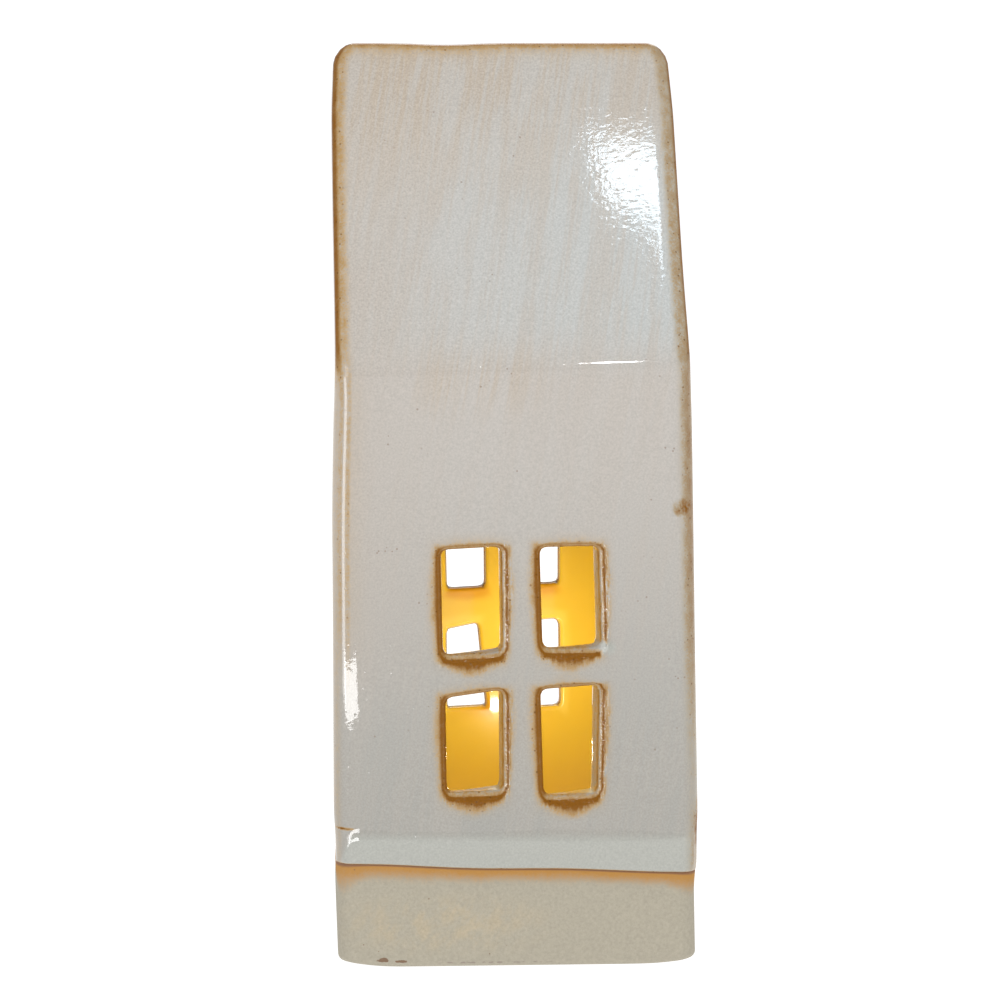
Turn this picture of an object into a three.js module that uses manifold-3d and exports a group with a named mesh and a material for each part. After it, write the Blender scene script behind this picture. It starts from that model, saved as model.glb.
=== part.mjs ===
// Slab-built ceramic tealight house, open at the foot, standing over a wax tealight.
// Millimetres, z up, the table at z = 0, the viewer in front at negative y.
import * as THREE from "three";
import { ConvexGeometry } from "three/addons/geometries/ConvexGeometry.js";
import { mergeVertices } from "three/addons/utils/BufferGeometryUtils.js";
import Module from "manifold-3d";

// Clay body: outer faces of the slabs, before their edges are rounded
const footWidth = 68.8;
const footDepth = 68.8;
const ridgeWidth = 65.8;
const eaveDepth = 66.8;
const eaveHeight = 119;
const roofPitch = 62;
const slabThickness = 5;
const seamGap = 0.2;
const edgeRadius = 2;
const ridgeEndRadius = 5;

// Glaze: a skin that stops short of the foot
const glazeThickness = 0.6;
const glazeClearance = 0.1;
const glazeLineHeight = 20;

// Windows: two by two in the front wall, and a smaller set in the back wall
const windowGroupOffset = 0.9;
const windowCornerRadius = 1.6;
const frontWindow = { width: 11.6, height: 20.8, mullion: 7.4, transom: 7.4, sill: 34.4 };
const backWindow = { width: 8.6, height: 17.6, mullion: 7.2, transom: 8, sill: 39.6 };

// Tealight: pressed cup, wax, wick and the disc that holds the wick
const cupRadius = 19;
const cupHeight = 15;
const cupWall = 0.5;
const cupDraft = 0.8;
const waxFill = 11;
const meniscus = 0.8;
const waxClearance = 0.2;
const wickRadius = 0.9;
const wickLength = 21;
const sustainerRadius = 6.5;
const sustainerThickness = 0.5;
const collarRadius = 1.9;
const collarHeight = 3.5;
const roundSegments = 64;

const wasm = await Module();
wasm.setup();

// A closed three.js geometry as a solid for cutting and joining
function toSolid(geometry) {
  const bare = geometry.clone();
  bare.deleteAttribute("normal");
  bare.deleteAttribute("uv");
  const merged = mergeVertices(bare, 1e-4);
  const corners = Array.from(merged.index.array);
  const kept = [];
  for (let i = 0; i < corners.length; i += 3) {
    const [a, b, c] = corners.slice(i, i + 3);
    if (a !== b && b !== c && c !== a) kept.push(a, b, c);
  }
  const mesh = new wasm.Mesh({
    numProp: 3,
    vertProperties: merged.attributes.position.array,
    triVerts: new Uint32Array(kept),
  });
  return new wasm.Manifold(mesh);
}

// A solid back as an indexed three.js geometry
function toGeometry(solid) {
  const mesh = solid.getMesh();
  const geometry = new THREE.BufferGeometry();
  geometry.setAttribute("position", new THREE.BufferAttribute(mesh.vertProperties, 3));
  geometry.setIndex(new THREE.BufferAttribute(mesh.triVerts, 1));
  geometry.computeVertexNormals();
  return geometry;
}

// A half-space: the points on the inner side of a face with the given outward direction
function halfSpace(x, y, z, point) {
  const normal = new THREE.Vector3(x, y, z).normalize();
  return { normal, offset: normal.dot(point) };
}

// Corners that a set of half-spaces leaves, each with the faces that meet there
function cornersOf(halfSpaces) {
  const corners = [];
  const matrix = new THREE.Matrix3();
  halfSpaces.forEach((a, i) => {
    halfSpaces.slice(i + 1).forEach((b, j) => {
      halfSpaces.slice(i + j + 2).forEach((c) => {
        matrix.set(...a.normal.toArray(), ...b.normal.toArray(), ...c.normal.toArray());
        if (Math.abs(matrix.determinant()) < 1e-9) return;
        const point = new THREE.Vector3(a.offset, b.offset, c.offset);
        point.applyMatrix3(matrix.invert());
        const inside = halfSpaces.every((h) => h.normal.dot(point) <= h.offset + 1e-6);
        if (inside) corners.push({ point, faces: [a, b, c] });
      });
    });
  });
  return corners;
}

// The six faces that slabs are laid on, and the table under the foot
const ridgeHeight = eaveHeight + (eaveDepth / 2) * Math.tan(THREE.MathUtils.degToRad(roofPitch));
const wallLean = (footDepth - eaveDepth) / 2;
const gableLean = (footWidth - ridgeWidth) / 2;
const ridgePoint = new THREE.Vector3(0, 0, ridgeHeight);
const faces = {
  clay_front_wall: halfSpace(0, -eaveHeight, wallLean, new THREE.Vector3(0, -footDepth / 2, 0)),
  clay_back_wall: halfSpace(0, eaveHeight, wallLean, new THREE.Vector3(0, footDepth / 2, 0)),
  clay_left_gable: halfSpace(-ridgeHeight, 0, gableLean, new THREE.Vector3(-footWidth / 2, 0, 0)),
  clay_right_gable: halfSpace(ridgeHeight, 0, gableLean, new THREE.Vector3(footWidth / 2, 0, 0)),
  clay_front_roof: halfSpace(0, eaveHeight - ridgeHeight, eaveDepth / 2, ridgePoint),
  clay_back_roof: halfSpace(0, ridgeHeight - eaveHeight, eaveDepth / 2, ridgePoint),
};
const table = halfSpace(0, 0, -1, new THREE.Vector3(0, 0, 0));

// Directions that turn a corner smoothly between the normals of its three faces
function cornerDirections(normals) {
  const steps = 4;
  const directions = [];
  for (let i = 0; i <= steps; i += 1) {
    for (let j = 0; j <= steps - i; j += 1) {
      const direction = normals[0].clone().multiplyScalar(i);
      direction.addScaledVector(normals[1], j);
      direction.addScaledVector(normals[2], steps - i - j);
      directions.push(direction.normalize());
    }
  }
  return directions;
}

// The whole house grown outwards by a distance, with every outer edge rounded
function roundedHouse(growth) {
  const radius = edgeRadius + growth;
  const cores = [...Object.values(faces), table].map((face) => ({
    normal: face.normal,
    offset: face.offset - edgeRadius,
  }));
  const sweep = Math.max(ridgeEndRadius - edgeRadius, 0);
  const points = [];
  cornersOf(cores).forEach(({ point, faces: meeting }) => {
    const directions = cornerDirections(meeting.map((face) => face.normal));
    const atRidge = point.z > eaveHeight + 0.5 * (ridgeHeight - eaveHeight);
    const turns = atRidge ? [0, 22.5, 45, 67.5, 90] : [0];
    turns.forEach((degrees) => {
      const angle = THREE.MathUtils.degToRad(degrees);
      const centre = point.clone();
      if (atRidge) centre.x -= Math.sign(point.x) * sweep * (1 - Math.sin(angle));
      if (atRidge) centre.z -= sweep * (1 - Math.cos(angle));
      directions.forEach((direction) => {
        points.push(centre.clone().addScaledVector(direction, radius));
      });
    });
  });
  return toSolid(new ConvexGeometry(points));
}

// One slab: within its thickness of its face, and nearer to it than to any other face
function slab(name) {
  const face = faces[name];
  const inner = { normal: face.normal.clone().negate(), offset: slabThickness - face.offset };
  const mitres = Object.values(faces)
    .filter((other) => other !== face)
    .map((other) => {
      const normal = other.normal.clone().sub(face.normal);
      const length = normal.length();
      const offset = (other.offset - face.offset) / length - seamGap / 2;
      return { normal: normal.divideScalar(length), offset };
    });
  const corners = cornersOf([face, inner, table, ...mitres]).map((corner) => corner.point);
  return toSolid(new ConvexGeometry(corners)).intersect(roundedHouse(0));
}

// Knife-cut corners of the four windows: how far each strays from a true rectangle,
// lower left, lower right, upper right, upper left
const handCut = [
  [[0.4, 0.2], [-0.1, 0.6], [0, 0.4], [0.4, -1.1]],
  [[0.2, -0.7], [-0.6, -0.3], [-0.1, 1.2], [-0.1, 0.4]],
  [[-0.2, -0.6], [0.1, -0.2], [0.1, 0.5], [-0.4, -0.1]],
  [[0.5, 0.3], [0.4, 0.5], [0, 0.5], [0.1, 0.3]],
];

// A cutter for one window, a quad with rounded corners run straight through a wall
function windowCutter(plan, index, from, to) {
  const column = index % 2;
  const row = Math.floor(index / 2);
  const left = windowGroupOffset + (column ? plan.mullion / 2 : -plan.mullion / 2 - plan.width);
  const bottom = plan.sill + row * (plan.height + plan.transom);
  const square = [[0, 0], [plan.width, 0], [plan.width, plan.height], [0, plan.height]];
  const quad = square.map(([x, z], corner) => {
    const [strayX, strayZ] = handCut[index][corner];
    return new THREE.Vector2(left + x + strayX, bottom + z + strayZ);
  });
  const radius = Math.min(windowCornerRadius, plan.width / 3, plan.height / 3);
  const shape = new THREE.Shape();
  quad.forEach((corner, i) => {
    const before = quad[(i + 3) % 4];
    const after = quad[(i + 1) % 4];
    const start = before.clone().sub(corner).setLength(radius).add(corner);
    const end = after.clone().sub(corner).setLength(radius).add(corner);
    if (i === 0) shape.moveTo(start.x, start.y);
    else shape.lineTo(start.x, start.y);
    shape.quadraticCurveTo(corner.x, corner.y, end.x, end.y);
  });
  shape.closePath();
  const geometry = new THREE.ExtrudeGeometry(shape, {
    depth: to - from,
    bevelEnabled: false,
    curveSegments: 4,
  });
  geometry.rotateX(Math.PI / 2);
  geometry.translate(0, to, 0);
  return toSolid(geometry);
}

// All four windows of one wall as one cutter
function windowSet(plan, from, to) {
  const cutters = handCut.map((_, index) => windowCutter(plan, index, from, to));
  return cutters.reduce((joined, cutter) => joined.add(cutter));
}

const outside = footDepth / 2 + 10;
const inside = footDepth / 2 - 4 * slabThickness;
const frontWindows = windowSet(frontWindow, -outside, -inside);
const backWindows = windowSet(backWindow, inside, outside);

// The glaze: the rounded house grown by the glaze, less the clay, the windows and the bare foot
function glazeCoat() {
  const skin = roundedHouse(glazeThickness).subtract(roundedHouse(glazeClearance));
  const block = new THREE.BoxGeometry(2 * footWidth, 2 * footDepth, 2 * glazeLineHeight);
  return skin.subtract(toSolid(block)).subtract(frontWindows).subtract(backWindows);
}

// A closed profile of radius and height turned round the upright axis
function turned(profile) {
  const points = profile.map(([radius, height]) => new THREE.Vector2(radius, height));
  const geometry = new THREE.LatheGeometry([...points, points[0].clone()], roundSegments);
  geometry.rotateX(Math.PI / 2);
  return toSolid(geometry);
}

// A thin cup, a little wider at the rim, with a rolled lip
function cup() {
  const foot = cupRadius - cupDraft;
  const lip = cupRadius + 0.4;
  return turned([
    [0, 0],
    [foot - 1, 0],
    [foot, 1],
    [cupRadius - 0.1, cupHeight - 0.8],
    [lip, cupHeight - 0.6],
    [lip, cupHeight],
    [cupRadius - cupWall - 0.1, cupHeight],
    [foot - cupWall, 1 + cupWall / 2],
    [foot - 1 - cupWall / 2, cupWall],
    [0, cupWall],
  ]);
}

// The wax: fills the cup, creeps up its wall and the wick, and is cut round the wick and disc
function wax() {
  const floor = cupWall + waxClearance;
  const foot = cupRadius - cupDraft - cupWall - waxClearance - 0.3;
  const fullHeight = cupHeight - 0.8;
  const top = cupRadius - 0.1 - cupWall - waxClearance - cupDraft * (1 - waxFill / fullHeight);
  const surface = floor + waxFill;
  const body = turned([
    [0, floor],
    [foot - 1, floor],
    [foot, floor + 1],
    [top - 0.3, surface],
    [top - 0.6, surface],
    [top - 2.6, surface - meniscus],
    [wickRadius + 3, surface - meniscus],
    [0, surface],
  ]);
  const disc = sustainerThickness + waxClearance;
  const neck = collarRadius + waxClearance;
  const core = wickRadius + waxClearance;
  const seat = turned([
    [0, 0],
    [sustainerRadius + waxClearance, 0],
    [sustainerRadius + waxClearance, floor + disc],
    [neck, floor + disc],
    [neck, floor + collarHeight + waxClearance],
    [core, floor + collarHeight + waxClearance],
    [core, floor + waxFill + 5],
    [0, floor + waxFill + 5],
  ]);
  return body.subtract(seat);
}

// The tinned disc under the wick, with a collar that grips it
function sustainer() {
  const floor = cupWall + waxClearance;
  const bore = wickRadius + 0.2;
  return turned([
    [bore, floor],
    [sustainerRadius, floor],
    [sustainerRadius, floor + sustainerThickness],
    [collarRadius, floor + sustainerThickness],
    [collarRadius, floor + collarHeight],
    [bore, floor + collarHeight],
  ]);
}

// The wick: a cord that runs up from the disc through the wax
function wick() {
  const start = cupWall + waxClearance;
  return turned([
    [0, start],
    [wickRadius, start],
    [wickRadius, start + wickLength - 0.6],
    [wickRadius - 0.5, start + wickLength],
    [0, start + wickLength],
  ]);
}

// Finishes
const clay = { color: 0xbfb49d, roughness: 0.9, metalness: 0 };
const glazed = { color: 0xcfcac1, roughness: 0.2, metalness: 0 };
const aluminium = { color: 0xd2d4d6, roughness: 0.3, metalness: 1 };
const tin = { color: 0xb4b6b8, roughness: 0.35, metalness: 1 };
const paraffin = { color: 0xf2eee2, roughness: 0.5, metalness: 0 };
const cotton = { color: 0xe4dcc8, roughness: 0.95, metalness: 0 };

const house = new THREE.Group();
house.name = "tealight_house";

// Add one finished solid to the house as its own named node
function addPiece(name, solid, finish) {
  const mesh = new THREE.Mesh(toGeometry(solid), new THREE.MeshStandardMaterial(finish));
  mesh.name = name;
  house.add(mesh);
}

addPiece("clay_front_wall", slab("clay_front_wall").subtract(frontWindows), clay);
addPiece("clay_back_wall", slab("clay_back_wall").subtract(backWindows), clay);
addPiece("clay_left_gable", slab("clay_left_gable"), clay);
addPiece("clay_right_gable", slab("clay_right_gable"), clay);
addPiece("clay_front_roof", slab("clay_front_roof"), clay);
addPiece("clay_back_roof", slab("clay_back_roof"), clay);
addPiece("glaze_coat", glazeCoat(), glazed);
addPiece("tealight_cup", cup(), aluminium);
addPiece("tealight_wax", wax(), paraffin);
addPiece("tealight_wick", wick(), cotton);
addPiece("wick_sustainer", sustainer(), tin);

export default house;
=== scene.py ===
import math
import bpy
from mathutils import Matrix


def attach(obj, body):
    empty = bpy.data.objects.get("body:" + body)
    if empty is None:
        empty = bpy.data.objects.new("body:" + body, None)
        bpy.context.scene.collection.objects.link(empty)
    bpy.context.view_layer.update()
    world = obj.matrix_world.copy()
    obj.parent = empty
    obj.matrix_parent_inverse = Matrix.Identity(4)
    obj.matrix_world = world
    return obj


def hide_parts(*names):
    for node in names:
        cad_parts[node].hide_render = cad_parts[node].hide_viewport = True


bl_info = {
    "name": "Tealight house",
    "version": (1, 0, 0),
    "blender": (4, 5, 0),
    "location": "View3D > Sidebar > Tealight house",
    "description": "Dresses a slab-built glazed house and the tealight that stands under it",
    "category": "Add Mesh",
}

from types import SimpleNamespace

import bpy
import numpy as np
from bpy.props import FloatProperty, FloatVectorProperty, IntProperty, PointerProperty
from mathutils import Quaternion, Vector

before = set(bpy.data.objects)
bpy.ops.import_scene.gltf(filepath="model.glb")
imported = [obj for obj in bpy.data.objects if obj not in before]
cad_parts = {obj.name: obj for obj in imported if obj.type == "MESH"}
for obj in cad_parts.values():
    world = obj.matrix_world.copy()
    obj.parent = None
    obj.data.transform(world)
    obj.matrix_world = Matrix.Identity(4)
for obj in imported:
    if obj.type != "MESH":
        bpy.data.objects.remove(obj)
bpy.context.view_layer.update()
MM = 0.001

CLAY_NODES = (
    "clay_front_wall",
    "clay_back_wall",
    "clay_left_gable",
    "clay_right_gable",
    "clay_front_roof",
    "clay_back_roof",
)

# Steps of the plan along the front, along a gable and round a corner
FRONT_STEPS = 58
SIDE_STEPS = 24
CORNER_STEPS = 12

# Rounding of the shell's profile, and how close to the middle a row may come before it is the ridge
INNER_RIDGE_RADIUS = 1.5 * MM
INNER_EAVE_RADIUS = 3 * MM
OUTER_EAVE_RADIUS = 5 * MM
INNER_FOOT_RADIUS = 1.0 * MM
OUTER_FOOT_RADIUS = 1.6 * MM
INNER_CORNER_RADIUS = 1.0 * MM
RIDGE_GAP = 0.02 * MM

# How far each knife-cut corner of the front windows strays from a true rectangle, in millimetres:
# lower left, lower right, upper right, upper left, as the viewer in front sees them
FRONT_CUT = np.array(
    [
        [[0.4, 0.9], [-0.1, 1.2], [0.0, 0.4], [0.4, -1.1]],
        [[0.4, 0.1], [-0.6, 0.4], [-0.1, 1.2], [0.0, 0.4]],
        [[0.0, -0.1], [0.1, 0.4], [0.1, 0.5], [-0.2, -0.1]],
        [[0.5, 1.1], [0.4, 1.1], [0.0, 0.5], [0.1, 0.3]],
    ]
)

# The same for the back windows
BACK_CUT = np.array(
    [
        [[0.4, -0.6], [0.1, -0.2], [-1.5, 0.3], [0.4, -1.1]],
        [[0.2, -0.7], [0.0, -0.3], [-0.1, 1.2], [-0.1, 0.4]],
        [[0.6, -0.6], [0.1, -0.2], [0.1, 0.5], [0.4, -0.1]],
        [[0.5, 0.3], [-0.1, 0.5], [0.0, 0.5], [0.1, 0.3]],
    ]
)

# How far the right jamb of each front window is cut aslant, in millimetres
JAMB_SLANT = (0.8, 1.2, 0.5, 1.0)

# Clear wall kept round a window for its rings
CELL_MARGIN = 4.4 * MM

# Rings of a window: shares of the way over the face to its lip, angles round the lip, shares of the
# way through the wall, angles round the inner edge, and shares of the way over the inner face
FACE_RINGS = np.array([0, 0.25, 0.45, 0.6, 0.72, 0.81, 0.88, 0.93, 0.97, 1.0])
LIP_RINGS = np.radians([15, 30, 45, 60, 75, 90])
JAMB_RINGS = np.array([0.2, 0.5, 0.8, 1.0])
BACK_LIP_RINGS = np.radians([30, 60, 90])
INNER_RINGS = np.array([0.06, 0.14, 0.24, 0.36, 0.5, 0.7, 1.0])
GLAZED_RINGS = len(FACE_RINGS) + len(LIP_RINGS) + len(JAMB_RINGS)
FIRST_INSIDE_RING = len(FACE_RINGS) + len(LIP_RINGS) + 1
BACK_LIP = 0.8 * MM

# How thin the glaze is on the rings of the lip and the jamb: left, upper, right and lower side
LIP_THIN = np.array(
    [
        [0.78, 0.86, 0.9, 0.9, 0.86, 0.8],
        [0.46, 0.54, 0.62, 0.66, 0.6, 0.5],
        [0.52, 0.34, 0.25, 0.42, 0.75, 0.6],
        [0.56, 0.38, 0.3, 0.36, 0.42, 0.4],
    ]
)
JAMB_THIN = np.array(
    [
        [0.7, 0.5, 0.4, 0.4],
        [0.4, 0.4, 0.4, 0.4],
        [0.34, 0.24, 0.2, 0.24],
        [0.36, 0.3, 0.25, 0.35],
    ]
)

# Thickness of the glaze on the lip and on the rings of the jamb, the least that is left anywhere,
# and how far the underside of the glaze lies above the clay
LIP_COAT = 0.3 * MM
JAMB_COAT = np.array([0.32, 0.32, 0.24, 0.05]) * MM
LEAST_COAT = 0.02 * MM
COAT_LIFT = 0.02 * MM

# Where the flame stands, in x and z
FLAME_AT = (0.0, 0.037)

# Points that round to the same step are one point
WELD_STEP = 0.0005 * MM

# Brown marks where the glaze crawled: centre and reach in millimetres, and how far it thinned
GLAZE_FLAWS = (
    ((32.2, -33.0, 91.3), (2.9, 9.0, 2.4), 1.0),
    ((35.0, -33.0, 108.0), (1.0, 6.0, 7.5), 0.9),
    ((35.3, -33.0, 27.0), (1.2, 6.0, 9.0), 1.0),
    ((-34.2, -33.0, 28.2), (2.6, 9.0, 0.42), 0.85),
    ((5.0, -34.0, 62.2), (0.4, 4.0, 0.4), 2.5),
)

# Chips in the foot: centre and reach in millimetres
FOOT_CHIPS = (
    ((-26.7, -33.5, 1.7), (1.9, 8.0, 0.7)),
    ((-23.2, -33.5, 1.4), (1.7, 8.0, 0.5)),
)

# Slant of the brush strokes on the gables and on the front and back, and of the glaze's ripple
GABLE_SLANT = (-10, 0, 0)
FACE_SLANT = (0, 10, 0)
RIPPLE_SLANT = (0, -6, 0)

# Colours of the marks on the clay: dark rim under the glaze, chips, worn arris and iron specks
RIM_DARK = (0.16, 0.075, 0.06)
CHIP_BROWN = (0.17, 0.085, 0.04)
ARRIS_GREY = (0.22, 0.17, 0.15)
IRON_BROWN = (0.2, 0.12, 0.07)

# How much narrower the cup is at its foot than at its rim
CUP_DRAFT = 0.8 * MM

# Steps of the tealight's grids, and how far the wick's strands wind on their way up, in radians
FLUTE_STEPS = 6
WAX_SEGMENTS = 128
WICK_ROWS = 110
WICK_SEGMENTS = 36
WICK_WINDING = 40
FLAME_ROWS = 60
FLAME_SEGMENTS = 40

# Camera, floor and sky
CAMERA_TARGET = (-0.00206, 0, 0.08813)
CAMERA_AZIMUTH = -2.9
CAMERA_ELEVATION = 8.27
CAMERA_ROLL = 0.05
CAMERA_DISTANCE = 0.8
CAMERA_LENS = 142.1
FLOOR_WIDTH = 80.0
SKY_STRENGTH = 0.5

# Soft lights of the studio: name, place, width and height, power, and whether the glaze reflects them
SOFTBOX_TARGET = (0, 0, 0.1)
SOFTBOXES = (
    ("left_softbox", (-0.48, -0.58, 0.31), (0.3, 0.5), 1.2, True),
    ("right_softbox", (0.48, -0.58, 0.31), (0.3, 0.5), 1.2, False),
    ("back_softbox", (0.1, 0.8, 0.7), (0.5, 0.5), 2.5, True),
    ("top_softbox", (0, -0.15, 1.2), (0.4, 0.4), 5.4, False),
)

# Small lamps that only show as reflections in the glaze:
# name, place, target, width and height, power and colour
WHITE = (1, 1, 1)
SKY_BLUE = (0.74, 0.88, 1.0)
GLINTS = (
    ("roof_window", (0.1080, -0.6240, 0.9470), (0.0223, -0.0163, 0.1529), (0.05, 0.03), 0.074, SKY_BLUE),
    ("roof_low_window", (0.115, -0.637, 0.922), (0.0283, -0.0232, 0.1397), (0.024, 0.024), 0.02, SKY_BLUE),
    ("eave_strip", (0.069, -0.752, 0.466), (0.0125, -0.0334, 0.1198), (0.016, 0.07), 0.21, WHITE),
    ("left_panel", (-0.2585, -0.2025, 0.046), (-0.0345, -0.0345, 0.09), (0.1, 0.086), 0.146, WHITE),
    ("left_low_panel", (-0.0987, -0.1701, 0.0283), (-0.0345, -0.0345, 0.0572), (0.143, 0.014), 0.069, WHITE),
)

# Light of the candle on the walls, and the glint of its flame in the glaze: place, power and radius
CANDLE_GLOW = ((0.003, 0, 0.053), 0.0445, 0.004)
FLAME_GLINT = ((-0.0004, 0.004, 0.0347), 0.007, 0.0015)
GLINT_COLOUR = (1.0, 0.90, 0.68)


def length(name, description, default):
    """A length that a user may change, in metres."""
    return FloatProperty(name=name, description=description, default=default, unit="LENGTH")


def tint(name, description, default):
    """A colour that a user may change."""
    return FloatVectorProperty(name=name, description=description, default=default, subtype="COLOR")


class HouseSizes(bpy.types.PropertyGroup):
    """Sizes of the clay house and of the glaze on it."""

    foot_width: length("Foot width", "Bare clay across the gables", 0.0705)
    foot_depth: length("Foot depth", "Bare clay from front to back", 0.0688)
    ridge_width: length("Ridge width", "Clay across the gables at the ridge", 0.0668)
    eave_depth: length("Eave depth", "Clay from eave to eave", 0.0668)
    eave_height: length("Eave height", "Table to the crease of the eave", 0.119)
    roof_pitch: FloatProperty(
        name="Roof pitch", description="Slope of the roof", default=math.radians(62), subtype="ANGLE"
    )
    wall: length("Slab", "Thickness of the rolled clay", 0.005)
    edge_radius: length("Edge radius", "Rounding of the upright corners", 0.0036)
    rake_radius: length("Rake radius", "Rounding of the roof's edges", 0.0022)
    belly: length("Belly", "How far the glazed gables swell outwards", 0.00055)
    corner_lift: length("Corner lift", "How far the foot is worn off at its corners", 0.0011)
    ridge_end_radius: length("Ridge end radius", "Rounding of the ridge's two ends", 0.0042)
    glaze: length("Glaze", "Thickness of the glaze on the walls", 0.0005)
    glaze_line: length("Glaze line", "Table to the lower edge of the glaze", 0.02)
    lean: FloatProperty(
        name="Lean", description="How far the house leans to the right per metre of height", default=-0.0115
    )
    window_corner: length("Window corner", "Rounding of the cut corners", 0.0016)


class FrontWindows(bpy.types.PropertyGroup):
    """The four windows of the front wall."""

    shift: length("Shift", "Windows right of the middle, seen from the front", 0.0011)
    width: length("Width", "Width of a window", 0.0116)
    height: length("Height", "Height of a window", 0.0208)
    mullion: length("Mullion", "Upright bar", 0.0074)
    transom: length("Transom", "Cross bar", 0.0074)
    sill: length("Sill", "Table to the lower sill", 0.0344)


class BackWindows(bpy.types.PropertyGroup):
    """The four smaller windows of the back wall."""

    shift: length("Shift", "Windows right of the middle, seen from the front", 0.00045)
    width: length("Width", "Width of a window", 0.0086)
    height: length("Height", "Height of a window", 0.0176)
    mullion: length("Mullion", "Upright bar", 0.0072)
    transom: length("Transom", "Cross bar", 0.008)
    sill: length("Sill", "Table to the lower sill", 0.0396)


class TealightSizes(bpy.types.PropertyGroup):
    """Sizes of the tealight."""

    cup_radius: length("Cup radius", "Radius of the cup at its rim", 0.019)
    cup_height: length("Cup height", "Height of the cup", 0.015)
    cup_wall: length("Cup wall", "Thickness of the pressed metal", 0.0004)
    wax_height: length("Wax height", "Top of the wax at the cup's wall", 0.0117)
    wick_radius: length("Wick radius", "Radius of the cotton wick", 0.0009)
    wick_top: length("Wick top", "Table to the tip of the wick", 0.0212)
    flame_top: length("Flame top", "Table to the tip of the flame", 0.0408)
    flutes: IntProperty(name="Flutes", description="Pressed flutes round the cup", default=56)


class Finishes(bpy.types.PropertyGroup):
    """Colours that a user would change."""

    glaze_pale: tint("Pale glaze", "Glaze where it is thick", (0.445, 0.45, 0.428))
    glaze_grey: tint("Grey glaze", "Glaze on the flats", (0.475, 0.445, 0.41))
    # Darker than the grey glaze: a painted shade toward the foot, as well as a greyer hue
    glaze_low: tint("Low glaze", "Glaze near the foot", (0.348, 0.339, 0.309))
    glaze_rose: tint("Rosy glaze", "Brushed streaks", (0.45, 0.395, 0.34))
    glaze_ochre: tint("Ochre glaze", "Glaze near an edge", (0.45, 0.30, 0.13))
    glaze_khaki: tint("Khaki glaze", "Glaze near an edge on the right", (0.37, 0.29, 0.175))
    glaze_brown: tint("Brown glaze", "Glaze that breaks on an edge", (0.22, 0.085, 0.008))
    clay: tint("Clay", "Bare fired clay", (0.400, 0.364, 0.286))
    flash: tint("Flash", "Orange flash under the glaze line", (0.46, 0.228, 0.05))
    # Amber that partly paints the candle's light over the thin glaze's own colour
    inside: tint("Inside", "Thin glaze inside the house", (0.62, 0.47, 0.105))
    candle: tint("Candle light", "Colour of the candle's light", (1.0, 0.80, 0.19))


def smooth(low, high, value):
    """Smooth step: 0 below low, 1 above high, 3t^2 - 2t^3 between."""
    share = np.clip((value - low) / (high - low), 0.0, 1.0)
    return share * share * (3.0 - 2.0 * share)


def fade(low, high, value):
    """Smooth step downwards: 1 below low, 0 above high."""
    return 1 - smooth(low, high, value)


def bell(value, width):
    """Bell curve exp(-(value / width)^2)."""
    return np.exp(-((value / width) ** 2))


def filleted(corners, radii, step):
    """A polyline whose inner corners are turned on arcs of the given radii.

    Straight runs are divided evenly; an arc is the slerp between its two radii.
    """
    corners = [np.array(corner, float) for corner in corners]
    points = [corners[0][None]]
    for before, here, after, radius in zip(corners, corners[1:], corners[2:], radii[1:]):
        back = (before - here) / np.linalg.norm(before - here)
        ahead = (after - here) / np.linalg.norm(after - here)
        between = math.acos(np.clip(back @ ahead, -1.0, 1.0))
        reach = radius / math.tan(between / 2)
        middle = (back + ahead) / np.linalg.norm(back + ahead)
        centre = here + middle * radius / math.sin(between / 2)
        start = here + back * reach - centre
        end = here + ahead * reach - centre
        turn = math.pi - between
        last = points[-1][-1]
        runs = max(1, math.ceil(np.linalg.norm(centre + start - last) / step))
        points.append(np.linspace(last, centre + start, runs + 1)[1:])
        steps = max(5, math.ceil(radius * turn / step))
        share = np.linspace(0, 1, steps + 1)[1:, None]
        arc = np.sin((1 - share) * turn) * start + np.sin(share * turn) * end
        points.append(centre + arc / math.sin(turn))
    last = points[-1][-1]
    runs = max(1, math.ceil(np.linalg.norm(corners[-1] - last) / step))
    points.append(np.linspace(last, corners[-1], runs + 1)[1:])
    return np.concatenate(points)


def wall_half(sizes, height):
    """Half the depth of the clay at a height: the foot's half less the lean."""
    lean = (sizes.foot_depth - sizes.eave_depth) / 2
    return sizes.foot_depth / 2 - lean * height / sizes.eave_height


def ridge_height(sizes):
    """Height at which the two roof faces would meet in a sharp edge."""
    return sizes.eave_height + sizes.eave_depth / 2 * math.tan(sizes.roof_pitch)


def gable_half(sizes, height):
    """Half the width of the clay at a height: the foot's half less the lean."""
    lean = (sizes.foot_width - sizes.ridge_width) / 2
    return sizes.foot_width / 2 - lean * height / ridge_height(sizes)


def shared_heights(sizes):
    """Heights of the rows that the inner and outer walls share, closer at the glaze line."""
    line = sizes.glaze_line
    near = np.array([-0.9, -0.45, -0.15, 0, 0.08, 0.2, 0.4, 0.7, 1.1, 1.7, 2.5, 3.5, 4.6])
    lower = np.linspace(5 * MM, line - 1.6 * MM, 11)
    upper = np.linspace(line + 5.8 * MM, sizes.eave_height - 9 * MM, 72)
    return np.concatenate([lower, line + near * MM, upper])


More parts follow.
